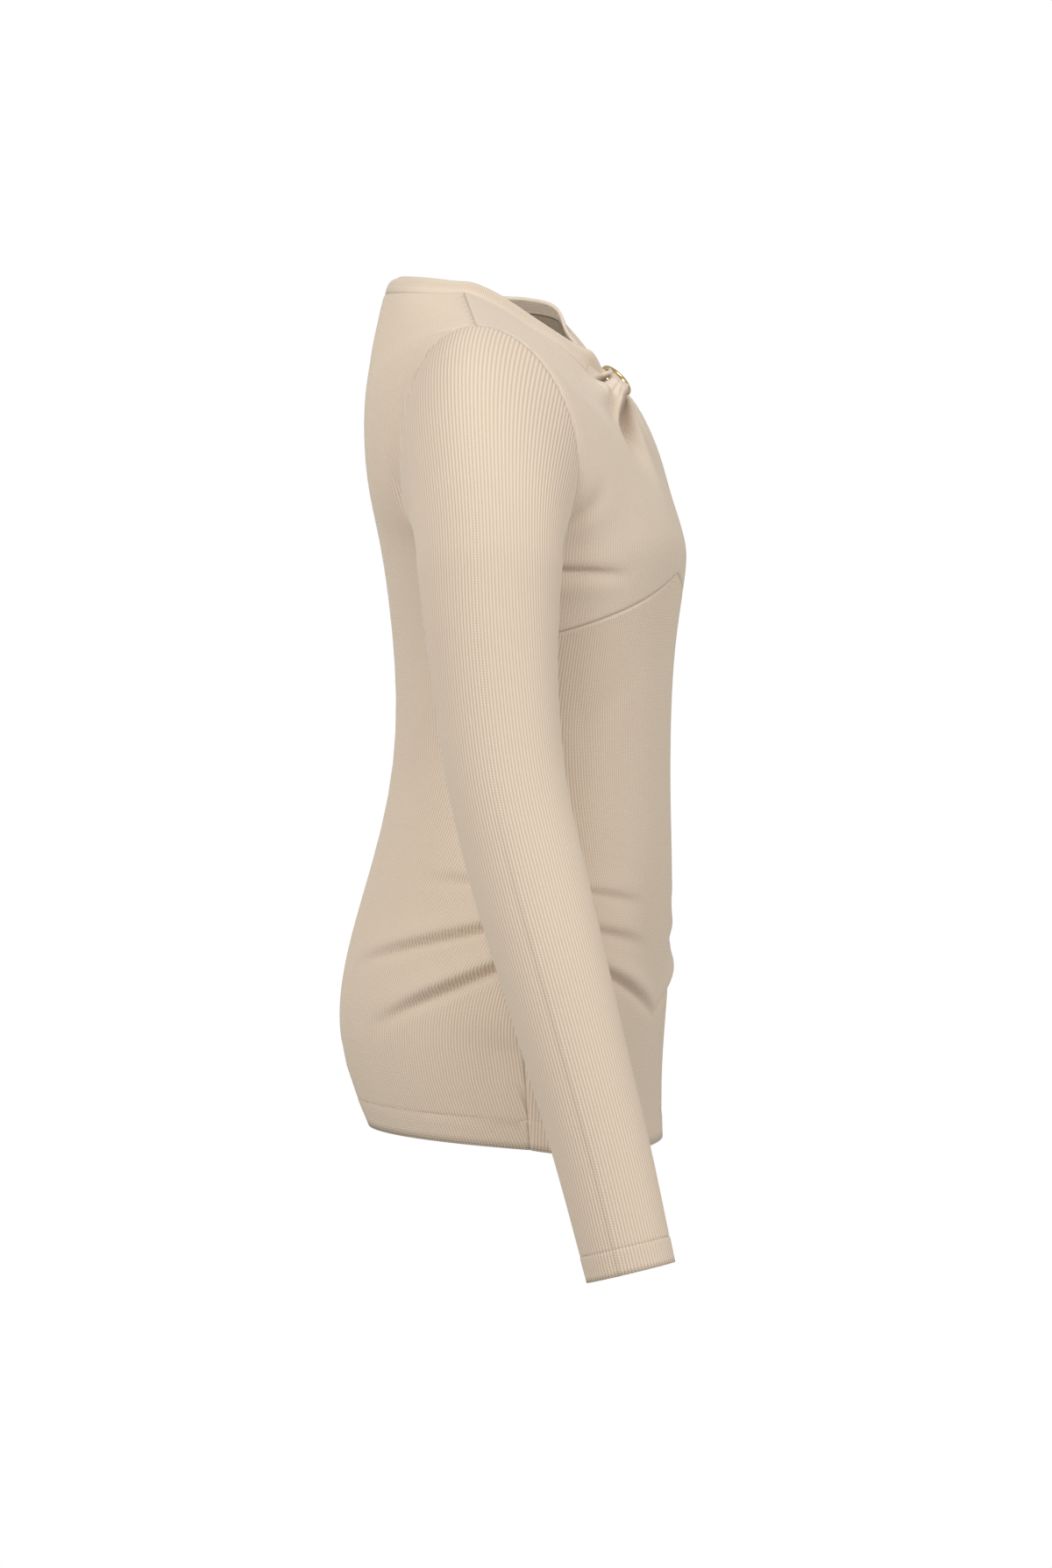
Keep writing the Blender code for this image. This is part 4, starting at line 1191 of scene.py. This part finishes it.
def sleeve_finish(turns, along, up):
    """How far the cloth of a sleeve sinks at its seams and hem and stands up at its pressed line,
    and how dark it is there: darker seams and hem, and painted shade along the pressed line."""
    from_cuff = up[-1:] - up
    from_seam = np.pi - np.abs(turns)
    sink = dip(up, SEAM_SINK, SEAM_SINK_REACH) - HEM_PROUD * (from_cuff < CUFF_TURN)
    sink += dip(from_cuff - CUFF_TURN, HEM_SINK, HEM_SINK_REACH)
    sink += dip(from_seam, SEAM_SINK, SEAM_TURN_REACH)
    from_press = (turns - PRESS_TURN) * SLEEVE_RADIUS
    pressed = dip(from_press, 1.0, PRESS_WIDTH) * ease((along - PRESS_START) / PRESS_FADE)
    # Painted shade along the pressed line, then the darker seams and hem
    shade = PRESS_PAINTED_SHADE * pressed + dip(up, ARMHOLE_SHADE, SEAM_SHADE_REACH)
    shade += dip(from_cuff - CUFF_TURN, HEM_SHADE, SEAM_SHADE_REACH)
    shade += dip(from_seam * SLEEVE_RADIUS, SIDE_SHADE, SEAM_SHADE_REACH)
    return sink - PRESS_HEIGHT * pressed, shade


def make_sleeve(name, side, knit):
    """A sleeve from the armhole to the turned cuff, with its ribs cut by the seam underneath."""
    right = side < 0
    along = spread(*SLEEVE_ROWS)
    turn, run, last = sleeve_columns(along, right)
    middle = turn.shape[1] - 1
    turns = np.concatenate([-turn[:, ::-1], turn[:, 1:]], axis=1)
    points = sleeve_form(turns, along[:, None], right)
    normals = sleeve_normal(turns, along[:, None], right)
    points[0, :, 0] += SEAM_GAP
    up = runs_up(points)
    sink, shade = sleeve_finish(turns, along[:, None], up)
    wall = WALL + TURN_EXTRA * (up[-1:] - up < CUFF_TURN) + RIB_HEIGHT / 2
    mirror = np.array([side, 1.0, 1.0])
    panel = {
        "points": (points - normals * (sink + RIB_HEIGHT / 2)[..., None]) * mirror,
        "inner": (points - normals * wall[..., None]) * mirror,
        "normals": normals * mirror,
        "run": np.concatenate([-run[:, ::-1], run[:, 1:]], axis=1),
        "up": up,
        "ribs": ease(up / RIB_FADE) * ease((np.pi - np.abs(turns)) / SEAM_TURN_REACH),
        "shade": shade,
        "low": middle - last,
        "high": middle + last,
        "middle": middle,
    }
    return knitted(name, panel, knit, closed=True)


def band_half(side, rows, step):
    """One half of the neck band, from its end at the ring to the centre back."""
    samples = np.linspace(0, 1, ROW_SAMPLES)
    places = np.concatenate([BAND_START + (1 - BAND_START) * samples, 2 - (1 - samples[1:])])
    row = np.full(places.shape, BAND_MIDDLE_ROW)
    path = np.where(
        (places <= 1)[:, None],
        form_point(np.minimum(places, 1), row, True),
        form_point(np.clip(2 - places, 0, 1), row, False),
    )
    run = runs_along(path[None])[0]
    count = int(round(run[-1] / step))
    at = np.interp(np.linspace(0, run[-1], count + 1), run, places)
    points = np.zeros((len(rows), len(at), 3))
    normals = np.zeros_like(points)
    for front, chosen in ((True, at <= 1), (False, at > 1)):
        across = at[chosen] if front else 2 - at[chosen]
        grid = np.broadcast_arrays(across[None, :], rows[:, None])
        points[:, chosen], normals[:, chosen] = half_panel(*grid, front, side)
    return points, normals, run[-1] * np.linspace(0, 1, count + 1)


def make_neck_band(knit):
    """The bound edge of the neckline, ribbed crosswise."""
    rows = np.linspace(BAND_SEAM_ROW, TOP_ROW, BAND_ROWS + 1)
    step = BAND_RIB_PITCH / RIB_PARTS
    right, right_normals, run = band_half(-1, rows, step)
    left, left_normals, _ = band_half(1, rows, step)
    points = np.concatenate([right, left[:, ::-1][:, 1:]], axis=1)
    normals = np.concatenate([right_normals, left_normals[:, ::-1][:, 1:]], axis=1)
    runs = np.concatenate([run, 2 * run[-1] - run[::-1][1:]])
    share = (rows[:, None] - BAND_SEAM_ROW) + 0 * runs[None, :]
    arch = np.sin(np.pi * np.clip(share, 0, 1))
    across = share * BAND_WIDTH
    crown = BAND_CROWN * arch**BAND_CROWN_POWER
    raised = crown + BAND_PROUD - dip(across, BAND_SINK, SEAM_SINK_REACH)
    behind = ease(points[..., 1:2] / BAND_LEAN_REACH) * share[..., None]
    points = points + behind * np.array(BAND_LEAN)
    panel = {
        "points": points + normals * raised[..., None],
        "inner": points - normals * BAND_WALL,
        "shade": dip(across, BAND_SHADE, SEAM_SHADE_REACH),
        "normals": normals,
        "run": np.broadcast_to(runs, share.shape),
        "up": across,
        "ribs": arch,
        "low": np.zeros(len(rows), int),
        "high": np.full(len(rows), len(runs) - 1),
        "middle": 0,
    }
    return knitted("neck_band_knit", panel, knit, BAND_RIB_PITCH, BAND_RIB_HEIGHT)


def make_ring(gold):
    """The polished ring, a tube closed on itself."""
    angles = np.linspace(0, 2 * np.pi, RING_SEGMENTS + 1)[:-1, None, None]
    around = np.linspace(0, 2 * np.pi, RING_SIDES + 1)[None, :-1, None]
    across, up_slope, out = ring_frame()
    radial = np.cos(angles) * across + np.sin(angles) * up_slope
    away = radial * np.cos(around) + out * np.sin(around)
    points = np.array(RING_CENTRE) + radial * RING_RADIUS + away * RING_WIRE
    faces = []
    for i in range(RING_SEGMENTS):
        here, ahead = i * RING_SIDES, (i + 1) % RING_SEGMENTS * RING_SIDES
        for j in range(RING_SIDES):
            after = (j + 1) % RING_SIDES
            faces.append([here + j, ahead + j, ahead + after, here + after])
    mesh = bpy.data.meshes.new("ring_gold")
    mesh.from_pydata(points.reshape(-1, 3).tolist(), [], faces)
    mesh.shade_smooth()
    mesh.materials.append(gold)
    return place("ring_gold", mesh)


def front_near_ring():
    """Points of the right front near the ring, in the ring's own directions."""
    across = np.linspace(0, 1, NEAR_SAMPLES)[None, :]
    row = np.linspace(*NEAR_SAMPLED_ROWS, NEAR_SAMPLES)[:, None]
    points = half_panel(*np.broadcast_arrays(across, row), True, -1)[0]
    found = from_ring(points.reshape(-1, 3))
    return found[np.linalg.norm(found, axis=1) < NEAR_SAMPLE_REACH]


def front_height(a, b, sample):
    """Height of the right front over the ring's plane, softly read from points of it."""
    away = (a.reshape(-1, 1) - sample[:, 0]) ** 2 + (b.reshape(-1, 1) - sample[:, 1]) ** 2
    nearest = away.min(axis=1, keepdims=True)
    share = np.exp((nearest - away) / NEAR_SOFTNESS**2)
    return (share @ sample[:, 2] / share.sum(axis=1)).reshape(a.shape)


def near_pleats(angle, distance):
    """How far the pleats of the near cloth sink: deepest just outside the wire."""
    outside = ease((distance - RING_RADIUS) / NEAR_PLEAT_RISE)
    fading = 1 - ease((distance - NEAR_PLEAT_HOLD) / NEAR_PLEAT_FADE)
    total = np.zeros(angle.shape)
    for middle, over_wire, beyond_wire, width in NEAR_PLEATS:
        run = (angle - np.radians(middle)) * np.maximum(distance, RING_RADIUS)
        depth = over_wire + (beyond_wire - over_wire) * outside
        total += dip(run, depth, width)
    return total * fading


def near_cloth_points():
    """Points of the near cloth, in rows from the chest over the wire into the ring."""
    along = np.linspace(NEAR_CLOTH[0][0], NEAR_CLOTH[-1][0], NEAR_ROWS + 1)[:, None]
    aside = np.linspace(-1, 1, NEAR_COLUMNS + 1)[None, :]
    along, aside = np.broadcast_arrays(along, aside)
    distance, lift, own, follow = (smooth(NEAR_CLOTH, column, along) for column in (1, 2, 3, 4))
    angle = np.radians(NEAR_MIDDLE + NEAR_HALF * aside)
    reach = np.maximum(distance, RING_RADIUS)
    inward = (reach - distance) * (1 - NEAR_ROUNDED * aside**2)
    heading = np.radians(NEAR_MIDDLE + 180)
    a = np.cos(angle) * reach + np.cos(heading) * inward
    b = np.sin(angle) * reach + np.sin(heading) * inward
    front = front_height(a, b, front_near_ring())
    kept = ease((1 - np.abs(aside)) / NEAR_EDGE)
    low = follow * (front - NEAR_TUCK) + (1 - follow) * NEAR_LOW
    high = follow * (front + lift) + (1 - follow) * own - near_pleats(angle, distance)
    steps = np.stack([a, b, low + (high - low) * kept], -1)
    return np.array(RING_CENTRE) + steps @ np.stack(ring_frame())


def make_ring_tab(knit):
    """The gathered cloth of the right front that passes over the near wire into the ring."""
    points = near_cloth_points()
    up_steps, steps = np.gradient(points, axis=0), np.gradient(points, axis=1)
    normals = unit(np.cross(steps, up_steps))
    normals *= np.sign(np.sum(normals * ring_frame()[2], -1, keepdims=True))
    run = np.cumsum(np.linalg.norm(steps, axis=-1), axis=1)
    panel = {
        "points": points,
        "inner": points - normals * TAB_WALL,
        "normals": normals,
        "run": run,
        "up": np.cumsum(np.linalg.norm(up_steps, axis=-1), axis=0),
        "ribs": np.zeros(run.shape),
        # Painted shade in the pleats of the near cloth
        "shade": painted_pleat_shade(points),
        "low": np.zeros(len(run), int),
        "high": np.full(len(run), NEAR_COLUMNS),
        "middle": 0,
    }
    return knitted("ring_tab_cloth", panel, knit)


def new_material(name):
    """A new material and its node tree."""
    material = bpy.data.materials.new(name)
    material.use_nodes = True
    return material, material.node_tree


def noise(tree, grain):
    """A grain fixed to the piece, given as its scale and detail."""
    piece = add_node(tree, "ShaderNodeTexCoord").outputs["Object"]
    scale, detail = grain
    made = add_node(tree, "ShaderNodeTexNoise", Vector=piece, Scale=scale, Detail=detail)
    return made.outputs["Fac"]


def mix(tree, share, first, second):
    """A mix of two colours."""
    settings = {"data_type": "RGBA"}
    return add_node(tree, "ShaderNodeMix", settings, Factor=share, A=first, B=second).outputs["Result"]


def bump(tree, strength, height):
    """A fine relief of the surface."""
    made = add_node(tree, "ShaderNodeBump", Strength=strength, Distance=BUMP_DEPTH, Height=height)
    return made.outputs["Normal"]


def kept_value(tree, name):
    """A value kept at each point of the cloth."""
    return add_node(tree, "ShaderNodeAttribute", {"attribute_name": name}).outputs["Fac"]


def finish_surface(tree, **values):
    """Gives a material's shader its inputs. Their names are written with low lines for spaces."""
    named = {key.replace("_", " "): value for key, value in values.items()}
    fill(tree, tree.nodes["Principled BSDF"], named)


def knit_material(name, rib_pitch):
    """A soft rib knit: pale on the crests, warmer and darker in the valleys with painted shade, with
    loops and fine fibres.
    """
    material, tree = new_material(name)
    cloth = add_node(tree, "ShaderNodeUVMap", {"uv_map": "cloth"})
    apart = add_node(tree, "ShaderNodeSeparateXYZ", Vector=cloth.outputs[0])
    wave = math(tree, "COSINE", math(tree, "MULTIPLY", apart.outputs["X"], np.pi / rib_pitch))
    # Painted shade in the rib valleys, as strong as the ribs themselves
    crest = math(tree, "POWER", math(tree, "ABSOLUTE", wave), RIB_SOFTNESS)
    valley = math(tree, "SUBTRACT", 1.0, crest)
    shown = math(tree, "MULTIPLY", valley, kept_value(tree, "rib_strength"))
    crest = math(tree, "SUBTRACT", 1.0, shown)
    loops = math(tree, "SINE", math(tree, "MULTIPLY", apart.outputs["Y"], 2 * np.pi / LOOP_PITCH))
    fibres, clouds = noise(tree, FIBRES), noise(tree, CLOUDS)
    loop_share = math(tree, "MULTIPLY_ADD", loops, LOOP_SHADE, 1 - LOOP_SHADE)
    base = mix(tree, math(tree, "MULTIPLY", crest, loop_share), KNIT_VALLEY_PAINTED_SHADE, KNIT_CREST)
    flecked = mix(tree, math(tree, "MULTIPLY", fibres, FLECK_SHARE), base, KNIT_FLECK)
    cloud_share = math(tree, "MULTIPLY_ADD", clouds, CLOUD_CHANGE, 1 - CLOUD_CHANGE / 2)
    toned = add_node(tree, "ShaderNodeHueSaturation", Value=cloud_share, Color=flecked)
    height = math(tree, "ADD", math(tree, "MULTIPLY", loops, LOOP_DEPTH), fibres)
    finish_surface(
        tree,
        # Darker seams and hem, and painted shade in the pleats beside the ring and along the sleeve's
        # pressed line
        Base_Color=mix(tree, kept_value(tree, "seam_and_painted_shade"), toned.outputs["Color"], SEAM_AND_PAINTED_SHADE_COLOUR),
        Roughness=math(tree, "MULTIPLY_ADD", fibres, KNIT_ROUGHNESS_CHANGE, KNIT_ROUGHNESS),
        Normal=bump(tree, KNIT_BUMP, height),
        Sheen_Weight=KNIT_SHEEN,
        Sheen_Roughness=KNIT_SHEEN_SPREAD,
        Specular_IOR_Level=KNIT_SHINE,
    )
    return material


def thread_material():
    """Sewing thread, a little darker than the knit, with its twist."""
    material, tree = new_material("sewing thread")
    finish_surface(
        tree,
        Base_Color=mix(tree, noise(tree, TWIST), THREAD_COLOUR, KNIT_CREST),
        Roughness=THREAD_ROUGHNESS,
        Sheen_Weight=THREAD_SHEEN,
    )
    return material


def gold_material():
    """Polished gold-coloured metal with faint wear."""
    material, tree = new_material("polished gold metal")
    wear = noise(tree, WEAR)
    finish_surface(
        tree,
        Base_Color=mix(tree, wear, GOLD_COLOUR, GOLD_BRIGHT),
        Roughness=math(tree, "MULTIPLY_ADD", wear, GOLD_ROUGHNESS_CHANGE, GOLD_ROUGHNESS),
        Normal=bump(tree, GOLD_BUMP, wear),
        Metallic=1.0,
    )
    return material


def whole_path(across, row, front, lift):
    """A path from the right edge of a panel to its left edge."""
    sides = []
    for side in (-1, 1):
        points, normals = half_panel(across[None, :], row[None, :], front, side)
        sides.append((points + normals * lift)[0])
    return np.concatenate([sides[0][::-1], sides[1][1:]])


def stitch_rows(thread):
    """The rows of stitches that show: hem, bust seam and cuffs."""
    across = np.linspace(0, EDGE_STITCHED, PATH_POINTS)
    hem_row = row_at(HEM_Z + HEM_TURN) + 0 * across
    under_bust = bust_seam_row(across) - SEAM_STITCH_AWAY / (UNDERARM_Z - HEM_Z)
    made = {"front_lower": [], "back": [], "right": [], "left": []}
    for name, key, row, front in (
        ("hem_stitches_front", "front_lower", hem_row, True),
        ("hem_stitches_back", "back", hem_row, False),
        ("bust_seam_stitches", "front_lower", under_bust, True),
    ):
        path = whole_path(across, row, front, STITCH_LIFT)
        made[key].append(stitched(name, path, thread))
    turns = np.linspace(-np.pi, np.pi, 2 * PATH_POINTS)
    for side, key in ((-1, "right"), (1, "left")):
        points = sleeve_form(turns, CUFF_SHARE + 0 * turns, side < 0)
        normals = sleeve_normal(turns, CUFF_SHARE + 0 * turns, side < 0)
        path = (points + normals * STITCH_LIFT) * np.array([side, 1.0, 1.0])
        made[key].append(stitched("cuff_stitches_" + key, path, thread))
    return made


def white_to_camera(tree, lit, kind, end):
    """Shows a surface or the surroundings as plain white, while their light stays as it is."""
    white = add_node(tree, kind, Color=WHITE, Strength=1.0).outputs[0]
    seen = add_node(tree, "ShaderNodeLightPath").outputs["Is Camera Ray"]
    both = add_node(tree, "ShaderNodeMixShader", n0=seen, n1=lit, n2=white)
    tree.links.new(both.outputs[0], tree.nodes[end].inputs["Surface"])


def make_floor():
    """A plain pale floor."""
    mesh = bpy.data.meshes.new("floor")
    half = FLOOR_HALF
    corners = [(-half, -half), (half, -half), (half, half), (-half, half)]
    mesh.from_pydata([(x, y, FLOOR_Z) for x, y in corners], [], [(0, 1, 2, 3)])
    material, tree = new_material("pale floor")
    finish_surface(tree, Base_Color=FLOOR_COLOUR, Roughness=FLOOR_ROUGHNESS)
    lit = tree.nodes["Principled BSDF"].outputs[0]
    white_to_camera(tree, lit, "ShaderNodeEmission", "Material Output")
    mesh.materials.append(material)
    place("floor", mesh)


def make_camera():
    """The camera of the picture: level, from the wearer's right, a little to the front."""
    yaw = np.radians(CAMERA_YAW)
    ahead = np.array([np.cos(yaw), np.sin(yaw), 0.0])
    data = bpy.data.cameras.new("camera")
    data.sensor_width = SENSOR
    data.lens = SENSOR * CAMERA_DISTANCE / FRAME_HEIGHT
    camera = place("camera", data)
    camera.location = np.array(CAMERA_TARGET) - ahead * CAMERA_DISTANCE
    camera.rotation_euler = (np.pi / 2, 0.0, yaw - np.pi / 2)
    bpy.context.scene.camera = camera


def soft_light(name, place_at, size, power):
    """A large soft lamp that faces the top."""
    data = bpy.data.lights.new(name, "AREA")
    data.shape = "DISK"
    data.size = size
    data.energy = power
    data.color = LAMP_COLOUR
    lamp = place(name, data)
    lamp.location = place_at
    away = np.array(place_at) - np.array(CAMERA_TARGET)
    lamp.rotation_mode = "QUATERNION"
    lamp.rotation_quaternion = Vector(away.tolist()).to_track_quat("Z", "Y")


def light_studio():
    """Even white surroundings and large soft lamps."""
    world = bpy.data.worlds.new("studio")
    world.use_nodes = True
    around = world.node_tree.nodes["Background"]
    fill(world.node_tree, around, {"Color": WORLD_COLOUR, "Strength": WORLD_LIGHT})
    white_to_camera(world.node_tree, around.outputs[0], "ShaderNodeBackground", "World Output")
    bpy.context.scene.world = world
    for name, place_at, size, power in LAMPS:
        soft_light(name, place_at, size, power)
    bpy.context.scene.view_settings.view_transform = "Standard"


RIB_TREE = rib_tree()
STITCH_TREE = stitch_tree()

make_camera()
light_studio()
make_floor()

knit = knit_material("beige rib knit", RIB_PITCH)
band_knit = knit_material("beige rib knit of the neck band", BAND_RIB_PITCH)
thread = thread_material()
gold = gold_material()

cloth = {
    "back": make_back(knit),
    "front_lower": make_front_lower(knit),
    "front_upper_right": make_front_upper("front_upper_right_knit", -1, knit),
    "front_upper_left": make_front_upper("front_upper_left_knit", 1, knit),
    "sleeve_right": make_sleeve("sleeve_right_knit", -1, knit),
    "sleeve_left": make_sleeve("sleeve_left_knit", 1, knit),
    "neck_band": make_neck_band(band_knit),
    "ring_tab": make_ring_tab(knit),
}
rows_of_stitches = stitch_rows(thread)
ring = make_ring(gold)

for node, piece in cloth.items():
    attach(piece, "root")
    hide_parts(node)
for made in rows_of_stitches.values():
    for piece in made:
        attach(piece, "root")
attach(ring, "root")
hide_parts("ring")
